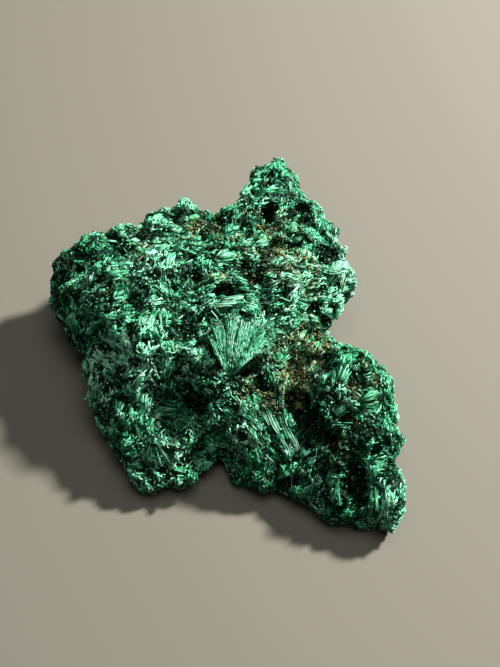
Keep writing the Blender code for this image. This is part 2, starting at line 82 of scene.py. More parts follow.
def even_skin(mesh, pitch):
    """A copy of a mesh remade of even faces of this size, without its loose bits."""
    skin = placed("skin", mesh.copy())
    remesh = skin.modifiers.new("Even faces", "REMESH")
    remesh.mode = "VOXEL"
    remesh.voxel_size = pitch
    graph = bpy.context.evaluated_depsgraph_get()
    made = bpy.data.meshes.new_from_object(skin.evaluated_get(graph))
    bpy.data.objects.remove(skin)
    form = bmesh.new()
    form.from_mesh(made)
    seen = set()
    shells = []
    for start in form.verts:
        if start in seen:
            continue
        seen.add(start)
        shell = [start]
        for corner in shell:
            for edge in corner.link_edges:
                other = edge.other_vert(corner)
                if other not in seen:
                    seen.add(other)
                    shell.append(other)
        shells.append(shell)
    shells.sort(key=len)
    bmesh.ops.delete(form, geom=[corner for shell in shells[:-1] for corner in shell], context="VERTS")
    form.to_mesh(made)
    form.free()
    return made


def numbers(collection, field, width):
    """One field of a mesh's vertices, edges or faces, as an array with this many columns."""
    found = np.empty(len(collection) * width, np.float32)
    collection.foreach_get(field, found)
    return found.reshape(-1, width).astype(float)


def tree_of(mesh, places):
    """A search tree of a mesh's faces, with its corners at these places."""
    return BVHTree.FromPolygons(places.tolist(), [tuple(face.vertices) for face in mesh.polygons])


def unit(vectors):
    """These directions, each with a length of one."""
    return vectors / np.linalg.norm(vectors, axis=-1, keepdims=True)


def into_skin(way, normal):
    """The part of a direction that lies in the skin."""
    return unit(way - normal * (way @ normal))


solid_mesh = solid.data.copy()
solid_mesh.transform(Matrix.Scale(1 / MM, 4))
broad_mesh = even_skin(solid_mesh, BROAD_PITCH)
broad_skin = tree_of(broad_mesh, numbers(broad_mesh.vertices, "co", 3))


def broad_normal(place):
    """The way that the stone faces here, with its small lumps left out."""
    return np.array(broad_skin.find_nearest(Vector(place))[1])


SPOT_EDGE = 0.6


def away_from(place, spots):
    """How clear this place is of a few round spots (x, y, radius): 0 inside one, 1 well outside them all."""
    clear = 1.0
    for x, y, radius in spots:
        distance = math.hypot(place[0] - x, place[1] - y) / radius
        clear = min(clear, max(0.0, distance - SPOT_EDGE) / SPOT_EDGE)
    return clear


# x, y, radius of the patch, and which way its bundles lie
LAID_PATCHES = (
    (-1.0, -3.2, 4.0, 5),
    (6.0, 1.0, 4.5, -3),
    (12.0, 3.5, 3.5, 8),
    (-8.2, -8.5, 3.0, 90),
    (-17.0, -2.0, 3.0, 20),
    (5.0, 8.5, 3.0, 20),
    (-9.5, -19.5, 3.0, 255),
    (-10.0, -23.0, 3.5, 300),
    (6.5, -20.0, 4.0, 298),
    (21.0, -22.0, 4.0, 300),
    (-22.0, 6.0, 6.0, 35),
)
# x, y, radius of the patch, and x, y of the root that its bundles grow out from
GROWN_PATCHES = (
    (-5.0, -15.5, 5.0, -4.6, -15.2),
    (18.5, 3.5, 4.5, 14.0, -1.0),
    (-14.0, -9.0, 3.5, -13.0, -13.0),
    (17.5, -14.5, 3.5, 15.5, -18.0),
    (17.5, -28.5, 3.0, 18.0, -27.0),
)
# A cell's centre is scaled up by this much before numbers are drawn from it, so that no two cells share them.
CELL_SPREAD = 64.0
patches = {}


def patch_at(place):
    """The patch of bundles that a place is in: which way it lies, and two ways across it."""
    centre = noise.voronoi(Vector(place) / PATCH_SIZE)[1][0]
    key = tuple(round(value, 3) for value in centre)
    if key not in patches:
        middle = np.array(centre) * PATCH_SIZE
        normal = broad_normal(middle)
        turned = noise.cell_vector(centre * CELL_SPREAD)
        way = np.array(turned)
        for x, y, radius, heading in LAID_PATCHES:
            if math.hypot(middle[0] - x, middle[1] - y) < radius:
                angle = math.radians(heading + HEADING_UNLIKE * turned[0])
                way = np.array((math.cos(angle), math.sin(angle), 0.0))
        for x, y, radius, root_x, root_y in GROWN_PATCHES:
            if math.hypot(middle[0] - x, middle[1] - y) < radius:
                way = np.array((middle[0] - root_x, middle[1] - root_y, 0.01))
        way = unit(into_skin(way, normal) + PATCH_RISE * normal * turned[1])
        across = into_skin(np.cross(normal, way), way)
        patches[key] = np.stack([across, np.cross(way, across), way])
    return patches[key]


GAP_SLOPE = 0.5


def packed(place, size, shift):
    """How clear of the gaps a place is in a packed heap of cells, 0 in a gap, and its own cell's centre."""
    distances, centres = noise.voronoi(Vector(place) / size + shift)
    return min(1.0, (distances[1] - distances[0]) / GAP_SLOPE), centres[0] - shift


# x, y, z, radius, and how strongly the bundles are broken away there
PITS = (
    (-15.8, 12.3, 13.6, 2.0, 1.0),
    (-20.9, 7.7, 13.1, 1.4, 0.6),
    (-4.7, 7.0, 17.5, 1.7, 0.9),
    (-3.8, 2.7, 17.6, 1.5, 0.8),
    (7.9, 21.4, 12.5, 2.2, 1.0),
    (14.0, 18.5, 15.5, 2.0, 0.9),
    (17.9, 10.7, 13.5, 2.0, 0.8),
    (4.8, 4.0, 16.8, 3.0, 1.0),
    (2.0, -0.9, 17.5, 2.1, 0.9),
    (7.2, 1.0, 17.2, 1.5, 0.8),
    (15.3, 1.0, 11.0, 1.6, 0.7),
    (17.5, 0.6, 8.5, 2.0, 0.8),
    (-5.3, -7.0, 16.2, 2.0, 0.7),
    (-11.0, -9.2, 16.8, 1.3, 0.6),
    (-1.2, -10.3, 16.6, 1.4, 0.7),
    (4.8, -12.3, 13.5, 2.2, 1.0),
    (-14.0, -12.8, 13.0, 1.6, 0.5),
    (-6.1, -12.8, 12.6, 1.8, 0.5),
    (-3.6, -15.6, 8.4, 2.8, 0.8),
    (7.1, -13.5, 10.8, 2.0, 0.8),
    (11.8, -14.0, 7.4, 2.8, 0.8),
    (14.0, -16.8, 7.4, 2.8, 0.8),
    (15.3, -20.5, 9.0, 2.2, 1.0),
    (17.0, -22.8, 9.4, 1.8, 1.0),
    (18.6, -25.6, 9.0, 1.8, 0.9),
    (20.9, -23.4, 12.1, 2.0, 0.9),
    (10.1, -26.3, 4.1, 1.8, 0.6),
    (20.2, -28.3, 7.5, 2.6, 1.0),
    (21.2, -31.0, 6.4, 1.8, 0.8),
)
# x, y, z, radius, and how far the skin stands out there
SWELLS = (
    (-11.4, -14.2, 11.0, 3.0, 1.6),
    (-12.0, -10.8, 16.0, 2.0, 0.7),
    (-7.2, -10.9, 16.2, 2.0, 0.8),
    (-3.4, -10.9, 15.6, 1.8, 0.6),
    (-2.1, -3.9, 17.1, 2.4, 0.6),
    (16.9, -18.2, 10.3, 2.6, 1.6),
    (21.4, -19.0, 13.3, 2.4, 0.2),
    (9.6, -20.8, 7.6, 2.6, 0.5),
    (4.3, -18.5, 11.2, 1.8, 0.5),
    (17.3, -27.4, 7.4, 2.2, 0.8),
    (17.0, -14.4, 12.0, 3.0, 1.0),
    (0.8, 20.6, 11.0, 3.0, 1.0),
    (-26.1, 9.1, 11.0, 4.0, 0.9),
    (-18.6, -11.3, 10.5, 3.5, 0.8),
)
GAP_WIDENED = 0.5
PIT_DEPTH = 1.4
PIT_FALL = 0.4
# Pits and swells are not quite round: they wander by this much, over this distance.
PIT_WANDER = 0.9
SWELL_WANDER = 0.5
WANDER_SIZE = 1.6


def balls_at(places, balls):
    """The sum of a few round balls (x, y, z, radius, strength), each of which fades out to its radius."""
    total = np.zeros(len(places))
    for x, y, z, radius, strength in balls:
        near = np.maximum(0.0, 1.0 - ((places - (x, y, z)) ** 2).sum(axis=1) / radius**2)
        total += strength * near * near * (3.0 - 2.0 * near)
    return total


def low_down(places):
    """How much of the relief is left at these places: all of it, or less near the foot."""
    return UNDER_RELIEF + (1 - UNDER_RELIEF) * np.clip(places[:, 2] / UNDER_HEIGHT, 0.0, 1.0)


# x, y, radius of the ground that the great fan stands on
FAN_GROUND = ((2.6, -10.0, 5.2), (6.0, -9.0, 3.4))
BUNDLE_CELL = np.array((BUNDLE_WIDTH, BUNDLE_WIDTH, BUNDLE_LENGTH))
RIB_CELL = np.array((RIB_WIDTH, RIB_WIDTH, RIB_LENGTH))
# The patches, the bundles, the ribs and the bundles' tones each start from their own place in the noise.
PATCH_START = Vector((0.0, 0.0, 0.0))
BUNDLE_START = Vector((5.0, 5.0, 5.0))
RIB_START = Vector((9.0, 9.0, 9.0))
TONE_START = Vector((31.0, 31.0, 31.0))
# The gaps' depth goes from shallow to deep over a few millimetres.
GAP_SHALLOW = 0.35
GAP_DEEPENS = 0.9
GAP_CHANGE_SIZE = 3.0
GAP_SHARPNESS = 0.6
RIB_SHARPNESS = 0.7
RIB_LEVEL = 0.8
# Between patches the gaps are narrower, and on walls the bundles step in and out less.
PATCH_GAP_SLOPE = 1.5
WALL_STEP = 0.3
WALL_FACING = 0.6

form_mesh = even_skin(solid_mesh, FORM_PITCH)
points = numbers(form_mesh.vertices, "co", 3)
normals = numbers(form_mesh.vertices, "normal", 3)
bundle_shift = np.empty(len(points))
bundle_clear = np.empty(len(points))
bundle_tone = np.empty((len(points), 3))
for index, place in enumerate(points):
    grain = patch_at(place) @ place
    patch_clear = packed(place, PATCH_SIZE, PATCH_START)[0]
    clear, centre = packed(grain / BUNDLE_CELL, 1.0, BUNDLE_START)
    tone = noise.cell_vector((centre + TONE_START) * CELL_SPREAD)
    tilt = BUNDLE_TILT * tone[0] * (grain[2] / BUNDLE_LENGTH - centre[2])
    bundle_clear[index] = min(clear, patch_clear * PATCH_GAP_SLOPE)
    bundle_shift[index] = tilt + BUNDLE_STEP * 0.5 * tone[1]
    bundle_tone[index] = tone
change = np.array([noise.noise(Vector(place) / GAP_CHANGE_SIZE) for place in points])
depth = GAP_SHALLOW + GAP_DEEPENS * np.maximum(0.0, 0.5 + change)
calm = np.array([away_from(place, FAN_GROUND) for place in points])
wander = np.array([noise.noise_vector(Vector(place) / WANDER_SIZE) for place in points])
pit = np.clip(balls_at(points + wander * PIT_WANDER, PITS), 0.0, 1.0)
swell = balls_at(points + wander * SWELL_WANDER, SWELLS)
bundle_clear = np.clip((bundle_clear - GAP_WIDENED * pit) / (1.0 - GAP_WIDENED * pit), 0.0, 1.0)
steady = calm * (WALL_STEP + (1 - WALL_STEP) * np.clip(normals[:, 2] / WALL_FACING, 0.0, 1.0))
relief = (bundle_clear**GAP_SHARPNESS - 1.0) * (BUNDLE_RELIEF * depth + PIT_DEPTH * pit) * calm
relief += bundle_shift * steady
relief += SKIN_LIFT * ((1 + GROUND_SUNK) * calm - GROUND_SUNK) - PIT_FALL * pit
formed = points + normals * (relief * low_down(points) + swell)[:, None]
formed[:, 2] = np.maximum(formed[:, 2], 0.0)
form_mesh.vertices.foreach_set("co", formed.ravel())
form_mesh.update()
form_skin = tree_of(form_mesh, formed)

mass_mesh = even_skin(form_mesh, SKIN_PITCH)
form_corner = [face.vertices[0] for face in form_mesh.polygons]
points = numbers(mass_mesh.vertices, "co", 3)
normals = numbers(mass_mesh.vertices, "normal", 3)
formed_from = np.array([form_corner[form_skin.find_nearest(Vector(place))[2]] for place in points])
bundle_clear, bundle_tone = bundle_clear[formed_from], bundle_tone[formed_from]
pit, calm = pit[formed_from], calm[formed_from]
grain = np.empty((len(points), 3))
grain_way = np.empty((len(points), 3))
rib_clear = np.empty(len(points))
for index, place in enumerate(points):
    patch = patch_at(place)
    grain_way[index] = patch[2]
    grain[index] = patch @ place
    rib_clear[index] = packed(grain[index] / RIB_CELL, 1.0, RIB_START)[0]
bark = np.array([noise.fractal(Vector(place) / BARK_SIZE, 0.8, 2.0, 3) for place in points])
relief = (rib_clear**RIB_SHARPNESS - RIB_LEVEL) * RIB_RELIEF + bark * BARK_RELIEF
points += normals * (relief * low_down(points))[:, None]
points[:, 2] = np.maximum(points[:, 2], 0.0)
mass_mesh.vertices.foreach_set("co", points.ravel())
mass_mesh.update()
mass_skin = tree_of(mass_mesh, points)
mass_mesh.transform(Matrix.Scale(MM, 4))
mass = placed("malachite_mass", mass_mesh)

# x, y, radius, and how stained with limonite the stone is there
RUST_SPOTS = (
    (-12.8, 11.4, 4.5, 0.55),
    (-4.0, 17.3, 4.0, 0.75),
    (-0.6, 1.7, 3.0, 0.65),
    (8.0, 17.0, 6.0, 0.65),
    (9.0, 8.0, 6.5, 0.65),
    (15.0, 4.5, 4.0, 0.45),
    (13.0, -6.0, 6.0, 0.85),
    (12.7, -11.1, 3.5, 1.0),
    (6.5, -14.5, 4.0, 0.75),
    (21.4, -15.6, 4.0, 0.6),
    (18.2, -23.4, 3.5, 0.6),
    (-17.0, 0.7, 2.5, 0.35),
    (-9.2, -17.3, 2.0, 0.45),
)
# x, y, radius, and how much paler (or, below 0, darker) the stone is there: partly its own tone, partly
# painted light and painted shade
TONE_AND_PAINTED_LIGHT_SPOTS = (
    (-25.5, 8.9, 4.7, -0.63),
    (-17.6, -10.9, 3.9, 0.95),
    (-17.5, -14.5, 2.5, 0.40),
    (-17.0, -3.0, 2.4, 0.20),
    (-17.0, -5.5, 3.0, -0.25),
    (-14.7, 0.5, 2.5, -0.25),
    (-13.5, 11.0, 2.4, -0.30),
    (-13.5, -16.0, 2.5, -0.20),
    (-12.0, -6.0, 2.5, -0.20),
    (-13.0, -20.0, 3.5, -0.20),
    (-12.6, 14.4, 3.2, 0.60),
    (-12.4, 3.8, 3.5, 0.52),
    (-11.5, -10.4, 2.6, 0.54),
    (-10.9, -13.9, 2.8, 0.56),
    (-9.4, 5.1, 3.6, 0.40),
    (-8.5, 13.0, 2.5, -0.20),
    (-9.0, -18.0, 3.0, 0.20),
    (-8.4, -24.3, 4.3, 0.49),
    (-7.0, -10.9, 2.5, 0.45),
    (-6.5, -15.0, 3.5, -0.30),
    (-4.0, -4.0, 2.5, 0.20),
    (-3.8, -11.6, 2.3, 0.75),
    (-2.3, 17.5, 2.5, -0.20),
    (-1.9, -14.0, 2.0, 0.30),
    (-0.5, 19.0, 4.0, -0.40),
    (1.0, 9.5, 2.5, -0.25),
    (2.3, -1.9, 2.6, -0.60),
    (2.6, -15.4, 2.0, 0.60),
    (3.5, 25.0, 2.5, 0.20),
    (4.0, -21.6, 2.2, 0.80),
    (4.1, -17.0, 2.2, 0.30),
    (4.8, 4.0, 3.0, -0.20),
    (5.6, -3.1, 3.0, 0.25),
    (5.6, -27.0, 3.0, -0.40),
    (5.7, 1.5, 2.2, -0.20),
    (6.8, 17.2, 2.6, -0.40),
    (7.5, -15.9, 3.4, -0.75),
    (7.6, 14.5, 3.0, -0.35),
    (7.9, 6.0, 2.5, 0.20),
    (8.5, -13.5, 3.0, -0.20),
    (9.3, 0.4, 2.4, 0.35),
    (11.8, -16.5, 4.5, -0.45),
    (11.3, -5.8, 2.5, 0.50),
    (13.4, -26.0, 3.0, -0.40),
    (13.5, -18.5, 3.0, -0.20),
    (14.0, -2.4, 3.1, -0.45),
    (14.4, 4.1, 4.8, 0.35),
    (14.8, -21.0, 3.0, -0.35),
    (15.4, -5.2, 3.0, -0.55),
    (17.2, -14.3, 3.2, 0.40),
    (17.3, -28.3, 2.0, 0.35),
    (17.4, -18.1, 2.6, 0.90),
    (18.0, -31.5, 3.0, -0.20),
    (18.1, -22.8, 3.9, -0.75),
    (19.5, -11.5, 3.0, -0.20),
    (20.0, 13.0, 3.0, 0.35),
    (20.2, -28.3, 4.0, -0.25),
    (20.5, 9.0, 4.0, 0.40),
    (20.6, 4.4, 3.0, 0.50),
    (21.3, -19.2, 2.9, 0.54),
    (21.7, -25.7, 2.5, 0.50),
    (21.7, -23.4, 2.8, -0.45),
    (22.8, -16.0, 2.8, -0.49),
    (24.5, -27.0, 3.0, -0.20),
    (25.5, -23.0, 3.0, -0.25),
    (25.5, -33.5, 2.5, 0.30),
)


SPOT_REACH = 1.3


def spots_at(places, spots):
    """The sum of a few round spots (x, y, radius, strength), which fade out a little past their radius."""
    total = np.zeros(len(places))
    for x, y, radius, strength in spots:
        distance = np.hypot(places[:, 0] - x, places[:, 1] - y)
        total += strength * np.maximum(0.0, 1.0 - distance / (radius * SPOT_REACH))
    return total


RUST_PATCH_SIZE = 1.8
RUST_START = Vector((5.0, 9.0, 2.0))
RUST_STRENGTH = 1.1
RUST_PATCHINESS = 0.5
RUST_CLEARED = 0.15


def rust_at(places):
    """How stained with limonite the stone is at each of these places, from 0 to 1."""
    patchy = [noise.fractal(Vector(place) / RUST_PATCH_SIZE + RUST_START, 0.9, 2.0, 3) for place in places]
    rust = spots_at(places, RUST_SPOTS) * RUST_STRENGTH + np.array(patchy) * RUST_PATCHINESS - RUST_CLEARED
    return np.clip(rust, 0.0, 1.0)


def shader_of(material):
    """The one shader of a new material."""
    material.use_nodes = True
    return material.node_tree.nodes["Principled BSDF"]


def add_node(material, kind, **settings):
    """Adds a node of this kind to a material, with these settings."""
    node = material.node_tree.nodes.new(kind)
    for name, value in settings.items():
        setattr(node, name, value)
    return node


def ramp_of(material, factor, *stops):
    """The colour of a ramp with these stops, each a place and a colour, at this factor."""
    node = add_node(material, "ShaderNodeValToRGB")
    elements = node.color_ramp.elements
    while len(elements) < len(stops):
        elements.new(0.5)
    for element, (place, colour) in zip(elements, stops):
        element.position = place
        element.color = (*colour, 1.0)
    material.node_tree.links.new(factor, node.inputs["Fac"])
    return node.outputs["Color"]


def attribute_of(material, name, output="Fac"):
    """One of the fields that a mesh holds for its material."""
    return add_node(material, "ShaderNodeAttribute", attribute_name=name).outputs[output]


def mix_of(material, factor, first, second, blend="MIX"):
    """Two colours mixed by a factor, or wholly where the factor is None."""
    node = add_node(material, "ShaderNodeMix", data_type="RGBA", blend_type=blend)
    links = material.node_tree.links
    if factor is None:
        node.inputs["Factor"].default_value = 1.0
    else:
        links.new(factor, node.inputs["Factor"])
    links.new(first, node.inputs["A"])
    links.new(second, node.inputs["B"])
    return node.outputs["Result"]


def greens_of(material, shade, vivid):
    """The greens of malachite, from dark to pale, and from silky to vivid."""
    silky = ramp_of(
        material,
        shade,
        (0.0, (0.001, 0.009, 0.004)),
        (0.25, (0.007, 0.056, 0.028)),
        (0.5, (0.05, 0.222, 0.138)),
        (0.75, (0.165, 0.38, 0.285)),
        (1.0, (0.40, 0.57, 0.48)),
    )
    deep = ramp_of(
        material,
        shade,
        (0.0, (0.0005, 0.010, 0.003)),
        (0.25, (0.001, 0.06, 0.018)),
        (0.5, (0.005, 0.225, 0.08)),
        (0.75, (0.025, 0.38, 0.165)),
        (1.0, (0.15, 0.56, 0.34)),
    )
    return mix_of(material, vivid, silky, deep)


def browns_of(material, shade):
    """The browns of limonite, from dark to pale."""
    return ramp_of(
        material,
        shade,
        (0.0, (0.013, 0.012, 0.004)),
        (0.5, (0.12, 0.098, 0.032)),
        (1.0, (0.39, 0.35, 0.16)),
    )


def add_field(mesh, name, values):
    """Adds one number for each corner of a mesh, for its material to use."""
    attribute = mesh.attributes.new(name, "FLOAT", "POINT")
    attribute.data.foreach_set("value", np.clip(values, 0.0, 1.0))


MIDDLE_SHADE = 0.55
SHADE_UNLIKE = 0.26
# painted shade: the pits are given a darker tone
PAINTED_PIT_SHADE = 0.1
MIDDLE_VIVID = 0.46
VIVID_UNLIKE = 0.45
ROCK_STAIN = 0.5
# How much the gaps between bundles count as gaps, next to those between ribs, in the painted shade that
# darkens the gaps, and how much painted shade darkens the pits. The noise along the grain is drawn out by
# GRAIN_STRETCH.
BUNDLE_GAP_SHARE = 0.75
PAINTED_PIT_DARKNESS = 0.6
GRAIN_STRETCH = (1.0, 1.0, 0.12)

mass_rust = rust_at(points)
# The stone's tone differs from bundle to bundle; the tone spots add painted light and painted shade, and the
# pits painted shade. The needles take this tone on too.
mass_shade = MIDDLE_SHADE + SHADE_UNLIKE * bundle_tone[:, 0] + spots_at(points, TONE_AND_PAINTED_LIGHT_SPOTS) - PAINTED_PIT_SHADE * pit
mass_vivid = MIDDLE_VIVID + VIVID_UNLIKE * bundle_tone[:, 2]
mass_clear = bundle_clear * BUNDLE_GAP_SHARE + rib_clear * (1 - BUNDLE_GAP_SHARE)
add_field(mass_mesh, "shade", mass_shade)
add_field(mass_mesh, "vivid", mass_vivid)
add_field(mass_mesh, "rust", mass_rust * ROCK_STAIN)
# The clear field carries the painted shade of the gaps and the pits.
add_field(mass_mesh, "clear", mass_clear * (1.0 - PAINTED_PIT_DARKNESS * pit))
grain_field = mass_mesh.attributes.new("grain", "FLOAT_VECTOR", "POINT")
grain_field.data.foreach_set("vector", (grain * GRAIN_STRETCH).ravel())

rock = bpy.data.materials.new("malachite rock")
rock_shader = shader_of(rock)
rock_links = rock.node_tree.links
rock_place = attribute_of(rock, "grain", "Vector")
ROCK_DETAIL = 3.0


def rock_noise(place, scale):
    """Noise over the rock, with this many waves for each unit of its place."""
    node = add_node(rock, "ShaderNodeTexNoise")
    node.inputs["Scale"].default_value = scale
    node.inputs["Detail"].default_value = ROCK_DETAIL
    rock_links.new(place, node.inputs["Vector"])
    return node.outputs["Fac"]


def rock_sum(first, second, factor):
    """The first output plus the second, less its half, times a factor."""
    scaled = add_node(rock, "ShaderNodeMath", operation="MULTIPLY_ADD")
    scaled.inputs[1].default_value = factor
    scaled.inputs[2].default_value = -factor / 2
    rock_links.new(second, scaled.inputs[0])
    total = add_node(rock, "ShaderNodeMath", operation="ADD", use_clamp=True)
    rock_links.new(first, total.inputs[0])
    rock_links.new(scaled.outputs["Value"], total.inputs[1])
    return total.outputs["Value"]


# The fibres are scaled in the grain's millimetres, and the fine grains in metres.
FIBRE_SCALE = 5.0
FINE_GRAIN_SCALE = 2200.0
FIBRE_CONTRAST = 1.6
FINE_GRAIN_CONTRAST = 1.0
STAIN_BY_GRAINS = 2.4
STAIN_BY_FIBRES = 0.8

rock_fibres = rock_noise(rock_place, FIBRE_SCALE)
rock_grains = rock_noise(add_node(rock, "ShaderNodeTexCoord").outputs["Object"], FINE_GRAIN_SCALE)
rock_streaks = rock_sum(attribute_of(rock, "shade"), rock_fibres, FIBRE_CONTRAST)
rock_shade = rock_sum(rock_streaks, rock_grains, FINE_GRAIN_CONTRAST)
rock_green = greens_of(rock, rock_shade, attribute_of(rock, "vivid"))
rock_speckled = rock_sum(attribute_of(rock, "rust"), rock_grains, STAIN_BY_GRAINS)
rock_stained = rock_sum(rock_speckled, rock_fibres, STAIN_BY_FIBRES)
rock_stain = ramp_of(rock, rock_stained, (0.3, (0.0, 0.0, 0.0)), (0.7, (1.0, 1.0, 1.0)))
rock_colour = mix_of(rock, rock_stain, rock_green, browns_of(rock, rock_shade))
rock_clear = attribute_of(rock, "clear")
# Painted shade: the colour is darkened to near black in the gaps between bundles and ribs, and in the pits.
rock_painted_gap_shade = ramp_of(rock, rock_clear, (0.22, (0.006, 0.015, 0.008)), (0.85, (1.0, 1.0, 1.0)))
rock_links.new(mix_of(rock, None, rock_colour, rock_painted_gap_shade, "MULTIPLY"), rock_shader.inputs["Base Color"])
rock_bump = add_node(rock, "ShaderNodeBump")
rock_bump.inputs["Strength"].default_value = 0.7
rock_bump.inputs["Distance"].default_value = 0.12 * MM
rock_links.new(rock_shade, rock_bump.inputs["Height"])
rock_links.new(rock_bump.outputs["Normal"], rock_shader.inputs["Normal"])
rock_shader.inputs["Roughness"].default_value = 0.5
rock_shader.inputs["Specular IOR Level"].default_value = 0.35
rock_shader.inputs["Specular Tint"].default_value = (0.25, 0.65, 0.42, 1.0)
mass_mesh.shade_flat()
mass_mesh.materials.clear()
mass_mesh.materials.append(rock)
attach(mass, "root")
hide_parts("malachite")

# The sheaves: compact bundles of parallel needles, a few millimetres long, broken off blunt. They lie on each
# other like chips of wood, each a little tilted, so that one end stands clear. Each needle is a slender
# crystal with three sides, from a point at its root to a blunt, slanted end.

# A needle's corners are its root and three around its blunt end, and none is lower than LOWEST_NEEDLE. They
# are turned from the way up, or from the way across where the needle itself is nearly upright.
NEEDLE_SIDES = 3
NEEDLE_FACES = ((0, 2, 1), (0, 3, 2), (0, 1, 3), (1, 2, 3))
NEEDLE_SLANT = 0.6
NEEDLE_UPRIGHT = 0.8
LOWEST_NEEDLE = 0.02
# How much the needles' looks vary, and how much they take on of the stone's rust: as a share of them that are
# rusty, at least this much each, and as a thinner stain on all of them.
LOOKS_UNLIKE = 0.10
NEEDLE_VIVID_UNLIKE = 0.15
NEEDLE_RUST = 0.4
NEEDLE_RUST_LEAST = 0.5
NEEDLE_STAIN = 0.8


def looks_at(index):
    """How the needles look at one corner of the mass: how pale, how vivid and how rusty."""
    shade = mass_shade[index] + chance.normal(0, LOOKS_UNLIKE)
    return shade, mass_vivid[index] + chance.normal(0, NEEDLE_VIVID_UNLIKE), NEEDLE_RUST * mass_rust[index]


def new_store():
    """An empty store for the needles of one piece."""
    return {"corners": [], "shade": [], "vivid": [], "rust": []}


def add_needles(store, roots, tips, widths, looks, unlike, most):
    """Adds needles to a store: where each starts and ends, how wide they are, and how they look.

    Each is this unlike the given shade, and none starts or ends more than this far from the mass.
    """
    shade, vivid, rust = looks
    roots, tips = roots.copy(), tips.copy()
    for places in (roots, tips):
        for index, place in enumerate(places):
            foot, _, _, distance = mass_skin.find_nearest(Vector(place))
            if distance > most:
                places[index] = foot.lerp(Vector(place), most / distance)
    along = tips - roots
    along /= np.linalg.norm(along, axis=1, keepdims=True)
    upright = np.abs(along[:, 2:3]) > NEEDLE_UPRIGHT
    side = np.cross(along, np.where(upright, [[1.0, 0.0, 0.0]], [[0.0, 0.0, 1.0]]))
    side /= np.linalg.norm(side, axis=1, keepdims=True)
    up = np.cross(along, side)
    turn = chance.uniform(0, math.tau, len(roots))
    corners = [roots]
    for corner in range(NEEDLE_SIDES):
        angle = turn + corner * math.tau / NEEDLE_SIDES
        out = side * np.cos(angle)[:, None] + up * np.sin(angle)[:, None]
        slant = along * chance.uniform(-NEEDLE_SLANT, NEEDLE_SLANT, len(roots))[:, None]
        corners.append(tips + (out + slant) * (widths / 2)[:, None])
    corners = np.stack(corners, axis=1)
    corners[:, :, 2] = np.maximum(corners[:, :, 2], LOWEST_NEEDLE)
    store["corners"].append(corners)
    count = len(roots)
    store["shade"].append(np.clip(shade + chance.normal(0, unlike, count), 0, 1))
    store["vivid"].append(np.clip(vivid + chance.normal(0, NEEDLE_VIVID_UNLIKE, count), 0, 1))
    rusty = (chance.uniform(0, 1, count) < rust) * chance.uniform(NEEDLE_RUST_LEAST, 1.0, count)
    store["rust"].append(np.maximum(rusty, NEEDLE_STAIN * rust))


def needle_object(name, store, material):
    """Makes one piece of all the needles in a store."""
    corners = np.concatenate(store["corners"])
    count = len(corners)
    corners_each = NEEDLE_SIDES + 1
    faces = (np.arange(count)[:, None, None] * corners_each + np.array(NEEDLE_FACES)).reshape(-1, 3)
    mesh = bpy.data.meshes.new(name)
    mesh.vertices.add(count * corners_each)
    mesh.vertices.foreach_set("co", (corners * MM).ravel())
    mesh.loops.add(len(faces) * 3)
    mesh.loops.foreach_set("vertex_index", faces.ravel())
    mesh.polygons.add(len(faces))
    mesh.polygons.foreach_set("loop_start", np.arange(len(faces)) * 3)
    mesh.update(calc_edges=True)
    mesh.validate()
    for field, values in (
        ("along", np.tile((0.0, 1.0, 1.0, 1.0), count)),
        ("shade", np.repeat(np.concatenate(store["shade"]), corners_each)),
        ("vivid", np.repeat(np.concatenate(store["vivid"]), corners_each)),
        ("rust", np.repeat(np.concatenate(store["rust"]), corners_each)),
    ):
        attribute = mesh.attributes.new(field, "FLOAT", "POINT")
        attribute.data.foreach_set("value", values)
    mesh.materials.append(material)
    piece = placed(name, mesh)
    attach(piece, "root")


needles = bpy.data.materials.new("malachite needles")
needles_shader = shader_of(needles)
needles_links = needles.node_tree.links
needles_shade = attribute_of(needles, "shade")
needles_green = greens_of(needles, needles_shade, attribute_of(needles, "vivid"))
needles_along = attribute_of(needles, "along")
# Painted shade: each needle is darker towards its root, where it goes into the stone.
needles_painted_root_shade = ramp_of(needles, needles_along, (0.05, (0.02, 0.05, 0.03)), (0.75, (1.0, 1.0, 1.0)))
needles_whole = mix_of(needles, None, needles_green, needles_painted_root_shade, "MULTIPLY")
needles_brown = browns_of(needles, needles_shade)
needles_colour = mix_of(needles, attribute_of(needles, "rust"), needles_whole, needles_brown)
needles_links.new(needles_colour, needles_shader.inputs["Base Color"])
needles_shader.inputs["Roughness"].default_value = 0.35
needles_shader.inputs["Specular IOR Level"].default_value = 0.4
needles_shader.inputs["Specular Tint"].default_value = (0.5, 0.85, 0.68, 1.0)


def scattered(spacing):
    """Places on the mass about this far apart, in no order."""
    order = chance.permutation(len(points))
    cells = np.floor(points[order] / spacing + chance.uniform(0, 1, 3)).astype(int)
    first = np.unique(cells, axis=0, return_index=True)[1]
    return order[chance.permutation(first)]


# A sheaf's needles lie in a half round, this far to each side in radians, around its core. Each reaches out
# by a share of the sheaf's length, and some of them point the other way.
SHEAF_HALF_ROUND = 1.45
SHEAF_CORE = 0.3
SHEAF_REACH = (0.36, 0.5)
SHEAF_TURNED_SHARE = 0.35
SHEAF_NEEDLE_WIDTH = (0.16, 0.34)


